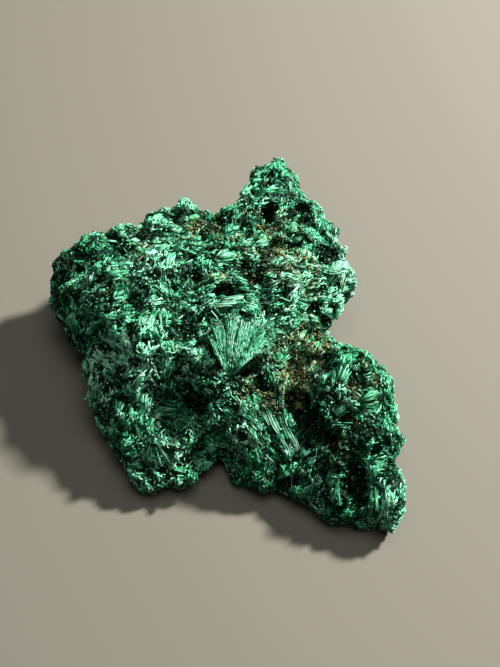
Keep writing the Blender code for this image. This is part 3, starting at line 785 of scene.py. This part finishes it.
def add_sheaf(store, middle, normal, way, length, width, height, count, spread, looks):
    """One sheaf: needles side by side and on each other, over a half-round core."""
    across = np.cross(normal, way)
    angle = chance.uniform(-SHEAF_HALF_ROUND, SHEAF_HALF_ROUND, count)
    depth = np.sqrt(chance.uniform(SHEAF_CORE, 1.0, count))
    beside = across * (np.sin(angle) * depth * width / 2)[:, None]
    beside = beside + normal * (np.cos(angle) * depth * height)[:, None]
    back = length * chance.uniform(*SHEAF_REACH, count)
    ahead = length * chance.uniform(*SHEAF_REACH, count)
    roots = middle - way * back[:, None] + beside * (1 - spread)
    tips = middle + way * ahead[:, None] + beside * (1 + spread)
    turned = (chance.uniform(0, 1, count) < SHEAF_TURNED_SHARE)[:, None]
    roots, tips = np.where(turned, tips, roots), np.where(turned, roots, tips)
    add_needles(store, roots, tips, chance.uniform(*SHEAF_NEEDLE_WIDTH, count), looks, unlike=0.24, most=0.3)


PIT_EDGE = 0.4


def open_stone(index, off_gaps, off_fan):
    """Whether needles may stand at a corner of the mass: this clear of gaps and the fan, and in no pit."""
    return (bundle_clear[index] >= off_gaps) & (calm[index] >= off_fan) & (pit[index] <= PIT_EDGE)


# Sheaves lie on ground that faces up at least this much, sunk into it by a share of their height and a little
# more. On steep ground they are shorter, and hardly tilted.
SHEAF_FACING = -0.3
SHEAF_SUNK_SHARE = 0.4
SHEAF_SUNK = 0.1
SHEAF_TILT_RAISES = 0.15
STEEP_FACING = 0.45
STEEP_LENGTH = 0.55
SHEAF_UNLIKE_GRAIN = 0.35
SHEAF_TILT_LEAST = -0.05
SHEAF_TILT_MOST = 0.25
STEEP_TILT_MOST = 0.05
SHEAF_HEIGHT = (0.3, 0.55)
SHEAF_SPREAD = (-0.05, 0.35)
SHEAF_FEWEST = 4
SHEAF_SIZES = (
    # spacing, length from, to, width from, to, needles for each millimetre of width
    (2.3, 2.0, 4.6, 0.6, 1.3, 12),
    (1.45, 1.2, 2.8, 0.4, 0.9, 11),
    (1.1, 0.6, 1.4, 0.3, 0.7, 9),
)
for number, (spacing, shortest, longest, slimmest, widest, density) in enumerate(SHEAF_SIZES, 1):
    sheaves = new_store()
    for index in scattered(spacing):
        place = points[index]
        if not open_stone(index, off_gaps=0.45, off_fan=0.3):
            continue
        normal = broad_normal(place)
        if normal[2] < SHEAF_FACING:
            continue
        way = grain_way[index] * chance.choice((-1, 1)) + chance.normal(0, SHEAF_UNLIKE_GRAIN, 3)
        way = into_skin(way, normal)
        steep = normal[2] < STEEP_FACING
        tilt = chance.uniform(SHEAF_TILT_LEAST, STEEP_TILT_MOST if steep else SHEAF_TILT_MOST)
        length = chance.uniform(shortest, longest) * (STEEP_LENGTH if steep else 1.0)
        width = chance.uniform(slimmest, widest)
        height = width * chance.uniform(*SHEAF_HEIGHT)
        raised = length * SHEAF_TILT_RAISES * tilt
        middle = place + normal * (raised - height * SHEAF_SUNK_SHARE - SHEAF_SUNK)
        tilted = way * math.cos(tilt) + normal * math.sin(tilt)
        count = int(density * width) + SHEAF_FEWEST
        spread = chance.uniform(*SHEAF_SPREAD)
        looks = looks_at(index)
        upward = into_skin(normal, way)
        add_sheaf(sheaves, middle, upward, tilted, length, width, height, count, spread, looks)
    needle_object(f"sheaves_{number}", sheaves, needles)

# The fans: sprays of needles that open out from one root, flat against the stone. The biggest are where the
# stone has ribs and hollows, and small ones are scattered over the top between the sheaves.

# Where the stone's top is found by looking down on it, and about how high it is past its edge.
LOOK_DOWN_FROM = 40.0
EDGE_HEIGHT = 10.0
# A fan's needles are shorter at its sides, lie in layers, and follow the skin below their tips up or down by
# these shares of the fan's length.
FAN_SIDES_SHORTER = 0.25
FAN_NEEDLE_REACH = (0.7, 1.0)
FAN_NEEDLE_WIDTH = (0.14, 0.3)
FAN_LAYERS = 0.35
FAN_OVER_SKIN = 0.1
FAN_MOST_UP = 0.6
FAN_MOST_DOWN = 0.5
FAN_STALK = 0.15
FAN_ROOT_SIZE = 0.12
FAN_ROOT_SUNK = 0.1
FAN_VIVID = (0.1, 0.9)
FAN_RUST = 0.05
FANS = (
    # x, y, heading, spread, length, needles, lift, shade
    (19.5, 1.0, 100, 75, 6.0, 110, 0.12, 0.70),
    (-4.5, -3.0, 4, 26, 8.5, 90, 0.05, 0.50),
    (6.0, 1.0, -2, 30, 9.0, 100, 0.05, 0.48),
    (4.5, 9.0, 20, 22, 3.6, 50, 0.10, 0.62),
    (-1.5, 5.2, 30, 40, 4.6, 60, 0.10, 0.55),
    (-8.2, -9.0, 92, 24, 5.0, 60, 0.10, 0.60),
    (-17.5, -1.5, 12, 40, 4.0, 50, 0.10, 0.45),
    (-12.5, -10.0, 60, 40, 5.0, 60, 0.12, 0.60),
    (14.0, 12.0, 60, 50, 3.0, 50, 0.2, 0.60),
    (-3.8, -14.9, 250, 60, 6.0, 90, 0.10, 0.25),
    (-3.8, -14.9, 190, 60, 5.5, 80, 0.10, 0.22),
    (-3.8, -14.9, 130, 60, 5.0, 70, 0.10, 0.22),
    (-3.8, -14.9, 80, 50, 4.5, 60, 0.10, 0.22),
    (-3.8, -14.9, 310, 60, 5.0, 70, 0.10, 0.25),
    (-9.5, -20.0, 255, 30, 5.0, 60, 0.12, 0.50),
    (-9.5, -22.0, 300, 30, 4.5, 50, 0.12, 0.62),
    (17.5, -16.5, 70, 70, 4.0, 70, 0.15, 0.50),
    (20.0, -19.0, 10, 50, 4.0, 60, 0.12, 0.50),
    (17.3, -28.0, 230, 90, 2.0, 30, 0.10, 0.60),
    (20.5, -26.0, 350, 60, 4.5, 70, 0.12, 0.50),
)
SMALL_FAN_SPACING = 4.2
SMALL_FAN_SPREAD = (20, 70)
SMALL_FAN_LENGTH = (1.2, 2.8)
SMALL_FAN_LIFT = (0.02, 0.15)
SMALL_FAN_DENSITY = 11
SMALL_FAN_FEWEST = 8


def below(x, y, height=LOOK_DOWN_FROM):
    """The place on the mass below a point at this height, or None."""
    return mass_skin.ray_cast(Vector((x, y, height)), Vector((0, 0, -1)))[0]


def add_fan(store, root, heading, spread, length, count, lift, looks):
    """One fan: needles that open out from a root, over the skin, and stand up a little at their tips."""
    angle = heading + spread * chance.uniform(-0.5, 0.5, count)
    ways = np.stack([np.cos(angle), np.sin(angle), np.zeros(count)], axis=1)
    shorter = 1 - FAN_SIDES_SHORTER * (2 * (angle - heading) / spread) ** 2
    reach = length * chance.uniform(*FAN_NEEDLE_REACH, count) * shorter
    tips = root + ways * reach[:, None]
    layer = chance.uniform(0, 1, count)
    lowest, highest = root[2] - FAN_MOST_DOWN * length, root[2] + FAN_MOST_UP * length
    for index, tip in enumerate(tips):
        foot = below(tip[0], tip[1], root[2] + 4.0)
        height = root[2] if foot is None else foot.z
        tips[index, 2] = min(max(height + FAN_OVER_SKIN, lowest), highest)
    tips[:, 2] += lift * reach + layer * FAN_LAYERS
    roots = root + chance.normal(0, FAN_ROOT_SIZE, (count, 3)) + ways * FAN_STALK
    add_needles(store, roots, tips, chance.uniform(*FAN_NEEDLE_WIDTH, count), looks, unlike=0.25, most=0.4)


fans = new_store()
for x, y, heading, spread, length, count, lift, shade in FANS:
    foot = below(x, y) or mass_skin.find_nearest(Vector((x, y, EDGE_HEIGHT)))[0]
    root = np.array(foot) - (0, 0, FAN_ROOT_SUNK)
    looks = (shade, chance.uniform(*FAN_VIVID), FAN_RUST)
    add_fan(fans, root, math.radians(heading), math.radians(spread), length, count, lift, looks)
for index in scattered(SMALL_FAN_SPACING):
    place = points[index]
    if not open_stone(index, off_gaps=0.4, off_fan=0.5) or broad_normal(place)[2] < STEEP_FACING:
        continue
    heading = chance.uniform(0, math.tau)
    spread = math.radians(chance.uniform(*SMALL_FAN_SPREAD))
    length = chance.uniform(*SMALL_FAN_LENGTH)
    count = int(length * spread * SMALL_FAN_DENSITY) + SMALL_FAN_FEWEST
    add_fan(fans, place, heading, spread, length, count, chance.uniform(*SMALL_FAN_LIFT), looks_at(index))
needle_object("fans", fans, needles)

# The long needles: a few straight, pale crystals of malachite that lie side by side across the ledge on the
# near side. Each is a pair grown together, and rests on the stone at both ends.

LONG_NEEDLE_LIFT = 0.5
LONG_NEEDLE_LOOKS = (0.85, 0.3, 0.0)
LONG_NEEDLES = (
    # x, y, heading, length, width
    (6.9, -17.2, 298, 3.6, 0.34),
    (8.0, -17.6, 292, 3.2, 0.30),
    (9.2, -17.6, 290, 4.2, 0.36),
    (10.0, -19.0, 296, 3.6, 0.34),
    (7.4, -18.8, 306, 2.8, 0.28),
    (11.2, -20.2, 288, 3.0, 0.30),
    (8.9, -20.6, 300, 2.6, 0.28),
    (6.2, -18.2, 312, 2.4, 0.26),
    (12.1, -21.6, 294, 2.6, 0.26),
    (10.4, -21.8, 282, 2.4, 0.28),
)
long_needles = new_store()
for x, y, heading, length, width in LONG_NEEDLES:
    angle = math.radians(heading)
    way = np.array((math.cos(angle), math.sin(angle), 0.0))
    lifted = (0, 0, LONG_NEEDLE_LIFT)
    start = np.array(below(x, y)) + lifted
    end = np.array(below(x + way[0] * length, y + way[1] * length)) + lifted
    for side_step in (-0.5, 0.5):
        beside = np.array((-way[1], way[0], 0.0)) * side_step * width
        places = ((start + beside)[None], (end + beside)[None])
        add_needles(long_needles, *places, np.array((width,)), LONG_NEEDLE_LOOKS, unlike=0.08, most=1.5)
needle_object("long_needles", long_needles, needles)

# The single needles: slender crystals of malachite that lie one by one along and across the bundles, grown
# close against them.

SINGLE_COUNT = 9500
SINGLE_FACING = -0.2
SINGLE_UNLIKE_GRAIN = 0.4
SINGLE_FLATNESS = 0.85
SINGLE_HALF_LENGTH = (0.3, 1.3)
SINGLE_LIFT = (-0.05, 0.15)
SINGLE_WIDTH = (0.16, 0.36)
every = np.arange(len(points))
ground = np.flatnonzero((normals[:, 2] > SINGLE_FACING) & open_stone(every, off_gaps=0.35, off_fan=0.4))
picked = chance.choice(ground, SINGLE_COUNT)
single_way = grain_way[picked] + chance.normal(0, SINGLE_UNLIKE_GRAIN, (SINGLE_COUNT, 3))
outward = (single_way * normals[picked]).sum(axis=1, keepdims=True)
single_way = unit(single_way - normals[picked] * outward * SINGLE_FLATNESS)
single_reach = single_way * chance.uniform(*SINGLE_HALF_LENGTH, (SINGLE_COUNT, 1))
single_middle = points[picked] + normals[picked] * chance.uniform(*SINGLE_LIFT, (SINGLE_COUNT, 1))
single_places = (single_middle - single_reach, single_middle + single_reach)
single_widths = chance.uniform(*SINGLE_WIDTH, SINGLE_COUNT)
single_looks = (mass_shade[picked] + 0.02, mass_vivid[picked], 0.2 * mass_rust[picked])
singles = new_store()
add_needles(singles, *single_places, single_widths, single_looks, unlike=0.24, most=0.25)
needle_object("single_needles", singles, needles)

# The great fan: the one big spray, which stands up in the middle of the stone's near side like half a ribbed
# shell. Its needles have grown together into bundles that open out from a root and end in a rough rim. Behind
# the rim it falls away into the mass, as a slope of broken ends that is darkened with painted shade.

FAN_ROOT = np.array((1.8, -14.6, 13.9))
FAN_RIM = np.array((
    (-1.1, -10.4, 16.5),
    (-1.0, -8.9, 17.1),
    (-0.3, -7.3, 17.6),
    (1.1, -6.4, 18.0),
    (2.7, -6.3, 18.1),
    (4.4, -6.5, 18.0),
    (6.2, -6.9, 17.8),
    (7.0, -8.3, 17.3),
    (7.1, -9.9, 16.7),
    (6.6, -11.3, 16.2),
    (5.0, -12.4, 15.6),
))
# how many points the fan has around its rim, from root to rim, and down the slope behind it
FAN_ACROSS = 260
FAN_ALONG = 46
FAN_BACK = 14
FAN_THICKNESS = 1.2
FAN_ARCH = 0.95
FAN_BEND = 0.035
FAN_RAGGED = 0.12
FAN_ROUGHNESS = 0.16
FAN_RIB_COUNT = 15
FAN_RIB_RELIEF = 0.75
FAN_RIB_SHARPNESS = 0.4
FAN_FIBRE_COUNT = 70
FAN_FALL = 3.4
# where the fan is split, and how wide each split is, both as shares of the way around the rim
FAN_SPLITS = ((0.12, 0.012), (0.29, 0.016), (0.45, 0.009), (0.66, 0.012))
SPLIT_DEPTH = 0.9
# the right end of the rim curls up from here on, and the slope behind is wider from its middle on
FAN_CURL_FROM = 0.8
FAN_CURL = 0.5
FAN_WIDER_FROM = 0.5


def fan_place(across, along):
    """Where a point of the fan is: across from 0 to 1 around the rim, along from 0 at the root to 1 there."""
    rim_at = across * (len(FAN_RIM) - 1)
    rim = np.stack([np.interp(rim_at, range(len(FAN_RIM)), FAN_RIM[:, axis]) for axis in range(3)], axis=-1)
    return FAN_ROOT + (rim - FAN_ROOT) * along[..., None]


def noise_of(places):
    """Smooth noise at each of an array of places."""
    flat = [noise.fractal(Vector(place), 0.8, 2.0, 3) for place in places.reshape(-1, 3)]
    return np.array(flat).reshape(places.shape[:-1])


def fan_noise(across, along, layer):
    """Smooth noise over the fan, with about one wave for each unit across and along."""
    return noise_of(np.stack(np.broadcast_arrays(across, along, layer), axis=-1))


def fan_ribs(across):
    """How far the fan stands out here: ribs of uneven width with grooves between, and fibres on each."""
    uneven = across * FAN_RIB_COUNT + 0.9 * np.sin(across * 19.0) + 0.5 * np.sin(across * 43.0 + 1.0)
    ribs = np.abs(np.sin(np.pi * uneven)) ** FAN_RIB_SHARPNESS
    groove_depth = 0.55 + 0.45 * np.sin(across * 31.0 + 0.6)
    ribs = 1.0 - (1.0 - ribs) * groove_depth
    for split, width in FAN_SPLITS:
        ribs = ribs - SPLIT_DEPTH * np.exp(-(((across - split) / width) ** 2))
    fibres = np.abs(np.sin(np.pi * across * FAN_FIBRE_COUNT + 2.5 * np.sin(across * 27.0)))
    return ribs, fibres


# fan_u goes around the rim, fan_v from the root to the rim, and fan_back down the slope behind.
fan_u, fan_v = np.meshgrid(np.linspace(0, 1, FAN_ACROSS), np.linspace(0, 1, FAN_ALONG), indexing="ij")
behind = np.linspace(0, 1, FAN_BACK + 1)[1:]
fan_u = np.concatenate([fan_u, np.repeat(fan_u[:, :1], FAN_BACK, axis=1)], axis=1)
fan_v = np.concatenate([fan_v, np.ones((FAN_ACROSS, FAN_BACK))], axis=1)
fan_back = np.concatenate([np.zeros((FAN_ACROSS, FAN_ALONG)), np.tile(behind, (FAN_ACROSS, 1))], axis=1)
ribs, fibres = fan_ribs(fan_u)
bent = FAN_BEND * fan_noise(fan_u * 3.0, fan_v * 1.5, 0.0)
ragged = fan_noise(fan_u * 16.0, 0.5, 0.0)
reach = 0.06 + 0.94 * fan_v * (0.97 + FAN_RAGGED * ragged)
fan_top = fan_place(np.clip(fan_u + bent, 0.0, 1.0), reach)
fan_facing = unit(np.array((-0.15, -0.45, 0.88)))
rough = noise_of(fan_top / 0.7 + fan_back[..., None] * 3.0)
ridges = (0.7 * ribs + 0.3 * fibres - 0.5) * FAN_RIB_RELIEF * (0.25 + 0.75 * fan_v)
waves = 0.35 * np.sin(fan_u * 9.0 + 1.0) * fan_v
curl = FAN_CURL * fan_v * np.maximum(0.0, fan_u - FAN_CURL_FROM) / 0.2
rise = ridges + FAN_ARCH * np.sin(np.pi * fan_v)
rise += waves + FAN_ROUGHNESS * rough + curl
fan_top = fan_top + fan_facing * rise[..., None]
fan_outward = unit(fan_place(fan_u, np.ones_like(fan_u)) - FAN_ROOT) * (1.0, 1.0, 0.0)
lumps = noise_of(fan_top / 1.3 + fan_back[..., None] * 2.0 + 7.0)
slope_width = 0.8 + 1.0 * np.clip((fan_u - FAN_WIDER_FROM) / 0.2, 0.0, 1.0)
slope_bumps = (0.3 * rough + 0.7 * lumps) * np.minimum(1.0, fan_back * 4)
fan_top += fan_outward * (slope_width * fan_back**0.7 + slope_bumps)[..., None]
fan_top[..., 2] -= FAN_FALL * fan_back**1.3
fan_depth = FAN_THICKNESS * (0.35 + 0.65 * fan_v) + 0.5 * rough
fan_under = fan_place(fan_u, reach * 0.93) - fan_facing * fan_depth[..., None]
fan_under[..., 2] -= FAN_FALL * fan_back

# The top and the underside share one order of points, and a band of faces joins their edges.
fan_points = np.concatenate([fan_top.reshape(-1, 3), fan_under.reshape(-1, 3)])
corner = np.arange(fan_u.size).reshape(fan_u.shape)
squares = np.stack([corner[:-1, :-1], corner[1:, :-1], corner[1:, 1:], corner[:-1, 1:]], axis=-1)
squares = squares.reshape(-1, 4).tolist()
lower = corner.size
fan_faces = [tuple(face[::-1]) for face in squares]
fan_faces += [tuple(value + lower for value in face) for face in squares]
edge = np.concatenate([corner[:, 0], corner[-1, 1:], corner[-2::-1, -1], corner[0, -2:0:-1]]).tolist()
for first, second in zip(edge, edge[1:] + edge[:1]):
    fan_faces.append((first, second, second + lower, first + lower))
great_mesh = bpy.data.meshes.new("great_fan")
great_mesh.from_pydata((fan_points * MM).tolist(), [], fan_faces)
great_mesh.validate()
great_mesh.update()

# The fan is pale on its ribs, with painted shade in its grooves and on the slope behind. It is darker
# towards its right end and paler towards its rim, and has one vivid rib.
streaks = fan_noise(fan_u * 60.0, fan_v * 2.5 + fan_back * 3.0, 4.0)
fan_tone_and_painted_shade = 0.54 + 0.26 * streaks + 0.14 * rough + 0.12 * (fibres - 0.5) - 0.5 * (1.0 - ribs)
fan_tone_and_painted_shade += 0.06 * np.sin(fan_u * 17.0) - 0.10 * fan_u + 0.08 * (fan_v - 0.5)
# painted shade: the slope behind the rim is dark
fan_tone_and_painted_shade = np.where(fan_back > 0, 0.26 + 0.3 * rough + 0.2 * lumps, fan_tone_and_painted_shade)
vivid_rib = (fan_u > 0.60) * (fan_u < 0.68) * (fan_v > 0.5)
fan_vivid = 0.32 + 0.3 * streaks + 0.2 * np.sin(fan_u * 11.0) + 0.6 * vivid_rib
no_rust = np.zeros(fan_u.shape)
for field, values in (("shade", fan_tone_and_painted_shade), ("vivid", fan_vivid), ("rust", no_rust), ("along", no_rust + 1)):
    add_field(great_mesh, field, np.concatenate([values.ravel()] * 2))
great_mesh.materials.append(needles)
great_mesh.shade_smooth()
great_fan = placed("great_fan", great_mesh)
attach(great_fan, "root")

# Loose needles lie along the fan's ribs, from and to these shares of the way from the root to the rim. Broken
# ends cover the slope behind, the sides and the underside. All of them may stand well away from the mass.
LOOSE_COUNT = 700
LOOSE_FROM = (0.05, 0.9)
LOOSE_LENGTH = (0.08, 0.3)
LOOSE_END = 1.03
LOOSE_WIDTH = (0.1, 0.22)
FREE_OF_MASS = 6.0


def on_fan(across, along, lift):
    """A place on the fan's top face, or this far above it."""
    row = np.round(across * (FAN_ACROSS - 1)).astype(int)
    column = np.minimum(np.round(along * (FAN_ALONG - 1)).astype(int), FAN_ALONG - 1)
    return fan_top[row, column] + fan_facing * lift[:, None]


loose_u = chance.uniform(0.01, 0.99, LOOSE_COUNT)
loose_from = chance.uniform(*LOOSE_FROM, LOOSE_COUNT)
loose_to = np.minimum(loose_from + chance.uniform(*LOOSE_LENGTH, LOOSE_COUNT), LOOSE_END)
loose_roots = on_fan(loose_u, loose_from, chance.uniform(-0.15, 0.02, LOOSE_COUNT))
loose_end_u = loose_u + chance.normal(0, 0.004, LOOSE_COUNT)
loose_tips = on_fan(loose_end_u, loose_to, chance.uniform(0, 0.2, LOOSE_COUNT))
loose_widths = chance.uniform(*LOOSE_WIDTH, LOOSE_COUNT)
loose_looks = (0.62 + 0.1 * np.sin(loose_u * 17.0), 0.35 + 0.25 * np.sin(loose_u * 11.0), 0.02)
great_needles = new_store()
add_needles(great_needles, loose_roots, loose_tips, loose_widths, loose_looks, unlike=0.15, most=FREE_OF_MASS)

BROKEN_COUNT = 2200
BROKEN_LENGTH = (0.5, 1.1)
BROKEN_WIDTH = (0.2, 0.5)
BROKEN_BENEATH_SHARE = 0.3
BROKEN_UNLIKE = 0.6
FAN_SIDE_ROWS = 6

row = chance.integers(0, FAN_ACROSS, BROKEN_COUNT)
column_behind = chance.integers(FAN_ALONG, FAN_ALONG + FAN_BACK, BROKEN_COUNT)
beneath = chance.uniform(0, 1, BROKEN_COUNT) < BROKEN_BENEATH_SHARE
beneath = beneath | (row < FAN_SIDE_ROWS) | (row > FAN_ACROSS - 1 - FAN_SIDE_ROWS)
column_beneath = chance.integers(FAN_ALONG // 3, FAN_ALONG + FAN_BACK, BROKEN_COUNT)
column = np.where(beneath, column_beneath, column_behind)
beneath = beneath[:, None]
broken_way = fan_outward[row, column] + np.where(beneath, -0.6 * fan_facing, 0.3 * fan_facing)
broken_way = unit(broken_way + chance.normal(0, BROKEN_UNLIKE, (BROKEN_COUNT, 3)))
broken_tips = np.where(beneath, fan_under[row, column], fan_top[row, column])
broken_tips = broken_tips + broken_way * chance.uniform(0.0, 0.35, (BROKEN_COUNT, 1))
broken_roots = broken_tips - broken_way * chance.uniform(*BROKEN_LENGTH, (BROKEN_COUNT, 1))
broken_widths = chance.uniform(*BROKEN_WIDTH, BROKEN_COUNT)
broken_looks = (0.4 + 0.2 * np.sin(row * 0.09), 0.4 + 0.3 * np.sin(row * 0.07), 0.1)
broken_places = (broken_roots, broken_tips)
add_needles(great_needles, *broken_places, broken_widths, broken_looks, unlike=0.22, most=FREE_OF_MASS)
needle_object("great_fan_needles", great_needles, needles)

# The ends: blunt needle ends and broken crystals of malachite, about a millimetre long and less. They cover
# the walls, the rims and the underside, and fill in between the sheaves on top.

END_COUNT = 22000
# how thickly they stand on top and below, next to the walls, and how much thinner in pits
ENDS_ON_TOP = 0.35
ENDS_BELOW = 0.5
PIT_THINNING = 0.8
TOP_FACING = 0.5
BELOW_FACING = -0.6
# how much they stand up from the skin, lean along the grain, and differ
END_STAND = 0.7
END_LEAN = 1.4
END_UNLIKE = 0.3
END_HEIGHT = (0.05, 0.25)
END_ROOT_DEPTH = (0.3, 0.9)
END_WIDTH = (0.16, 0.42)
END_JITTER = 0.15

face_area = numbers(mass_mesh.polygons, "area", 1)[:, 0]
face_centre = numbers(mass_mesh.polygons, "center", 3) / MM
face_normal = numbers(mass_mesh.polygons, "normal", 3)
face_corner = np.array([face.vertices[0] for face in mass_mesh.polygons])
weight = face_area * np.where(face_normal[:, 2] > TOP_FACING, ENDS_ON_TOP, 1.0)
weight *= np.where(face_normal[:, 2] < BELOW_FACING, ENDS_BELOW, 1.0)
weight *= 1.0 - PIT_THINNING * pit[face_corner]
picked = chance.choice(len(weight), END_COUNT, p=weight / weight.sum())
end_corner = face_corner[picked]
end_lean = grain_way[end_corner] * chance.uniform(-END_LEAN, END_LEAN, (END_COUNT, 1))
end_way = face_normal[picked] * END_STAND + end_lean + chance.normal(0, END_UNLIKE, (END_COUNT, 3))
end_way = unit(end_way)
end_height = chance.uniform(*END_HEIGHT, END_COUNT)
end_tips = face_centre[picked] + chance.normal(0, END_JITTER, (END_COUNT, 3)) + end_way * end_height[:, None]
end_roots = end_tips - end_way * (end_height + chance.uniform(*END_ROOT_DEPTH, END_COUNT))[:, None]
end_widths = chance.uniform(*END_WIDTH, END_COUNT)
end_looks = (mass_shade[end_corner] - 0.04, mass_vivid[end_corner], NEEDLE_RUST * mass_rust[end_corner])
ends = new_store()
add_needles(ends, end_roots, end_tips, end_widths, end_looks, unlike=0.22, most=0.25)
needle_object("needle_ends", ends, needles)

# The limonite: earthy iron ore, from rust brown to olive, left in the gaps between the needles as crumbs and
# small crusts. The crumbs have the needles' three-sided form, but are short and stubby.

CRUST_COUNT = 1100
CRUMBS_IN_CRUST = 9
CRUST_SIZE = (0.2, 0.8)
CRUST_SHADE = (0.1, 0.8)
CRUST_OLIVE = (-0.1, 1.1)
CRUMB_SPREAD = 0.6
CRUMB_HALF_LENGTH = (0.12, 0.3)
CRUMB_WIDTH = (0.2, 0.5)
RUST_POWER = 2

limonite = bpy.data.materials.new("limonite")
limonite_shader = shader_of(limonite)
limonite_shade = attribute_of(limonite, "shade")
limonite_olive = ramp_of(
    limonite,
    limonite_shade,
    (0.0, (0.006, 0.014, 0.003)),
    (0.5, (0.07, 0.12, 0.032)),
    (1.0, (0.27, 0.38, 0.16)),
)
limonite_brown = browns_of(limonite, limonite_shade)
limonite_colour = mix_of(limonite, attribute_of(limonite, "vivid"), limonite_brown, limonite_olive)
limonite.node_tree.links.new(limonite_colour, limonite_shader.inputs["Base Color"])
limonite_shader.inputs["Roughness"].default_value = 0.85
limonite_shader.inputs["Specular IOR Level"].default_value = 0.2
crumb_count = CRUST_COUNT * CRUMBS_IN_CRUST
crust_chance = mass_rust[face_corner] ** RUST_POWER * face_area
crusts = chance.choice(len(crust_chance), CRUST_COUNT, p=crust_chance / crust_chance.sum())
crust_size = np.repeat(chance.uniform(*CRUST_SIZE, CRUST_COUNT), CRUMBS_IN_CRUST)[:, None]
crust_shade = np.repeat(chance.uniform(*CRUST_SHADE, CRUST_COUNT), CRUMBS_IN_CRUST)
crust_olive = np.repeat(chance.uniform(*CRUST_OLIVE, CRUST_COUNT), CRUMBS_IN_CRUST)
crumb_middle = face_centre[np.repeat(crusts, CRUMBS_IN_CRUST)]
crumb_middle = crumb_middle + chance.normal(0, CRUMB_SPREAD, (crumb_count, 3)) * crust_size
for index, place in enumerate(crumb_middle):
    crumb_middle[index] = mass_skin.find_nearest(Vector(place))[0]
crumb_way = unit(chance.normal(0, 1.0, (crumb_count, 3)))
crumb_reach = crumb_way * chance.uniform(*CRUMB_HALF_LENGTH, (crumb_count, 1))
crumb_places = (crumb_middle - crumb_reach, crumb_middle + crumb_reach)
crumb_widths = chance.uniform(*CRUMB_WIDTH, crumb_count)
crumbs = new_store()
add_needles(crumbs, *crumb_places, crumb_widths, (crust_shade, crust_olive, 0.0), unlike=0.2, most=0.6)
needle_object("limonite_crumbs", crumbs, limonite)

# The table, the light and the camera. The table is pale and plain. A small lamp shines from the far right and
# a wide, weak one from above, and the camera looks down at the near side of the stone.

# half of the table's width, in metres
TABLE_REACH = 1.5
TABLE_CORNERS = ((-1, -1), (1, -1), (1, 1), (-1, 1))

table_mesh = bpy.data.meshes.new("table")
table_mesh.from_pydata([(x * TABLE_REACH, y * TABLE_REACH, 0) for x, y in TABLE_CORNERS], [], [(0, 1, 2, 3)])
table = placed("table", table_mesh)
paint = bpy.data.materials.new("table paint")
paint_shader = shader_of(paint)
paint_shader.inputs["Base Color"].default_value = (0.125, 0.119, 0.096, 1.0)
paint_shader.inputs["Roughness"].default_value = 0.9
table_mesh.materials.append(paint)

# the place in the stone that the camera and the lamps point at
AIM = Vector((4.82, -1.41, 8.0)) * MM
CAMERA_ELEVATION = math.radians(52)
CAMERA_DISTANCE = 179.3 * MM


def lamp(name, way, distance, size, power, colour):
    """A square lamp that shines at the stone from this way."""
    light = bpy.data.lights.new(name, "AREA")
    light.size = size
    light.energy = power
    light.color = colour
    holder = placed(name, light)
    way = Vector(way).normalized()
    holder.location = AIM + way * distance
    holder.rotation_euler = way.to_track_quat("Z", "Y").to_euler()


lamp("key light", (0.663, 0.383, 0.643), distance=0.5, size=0.05, power=9.2, colour=(1.0, 0.97, 0.92))
lamp("fill light", (0.1, 0.0, 1.0), distance=0.6, size=0.4, power=1.7, colour=(1.0, 1.0, 0.96))

world = bpy.data.worlds.new("studio")
bpy.context.scene.world = world
world.use_nodes = True
background = world.node_tree.nodes["Background"]
background.inputs["Color"].default_value = (0.97, 1.0, 0.96, 1.0)
background.inputs["Strength"].default_value = 0.075

lens = bpy.data.cameras.new("camera")
lens.lens = 60.0
lens.sensor_width = 36.0
lens.clip_start = 0.005
camera = placed("camera", lens)
backward = Vector((0.0, -math.cos(CAMERA_ELEVATION), math.sin(CAMERA_ELEVATION)))
camera.location = AIM + backward * CAMERA_DISTANCE
camera.rotation_euler = backward.to_track_quat("Z", "Y").to_euler()
bpy.context.scene.camera = camera
bpy.context.scene.view_settings.view_transform = "Standard"
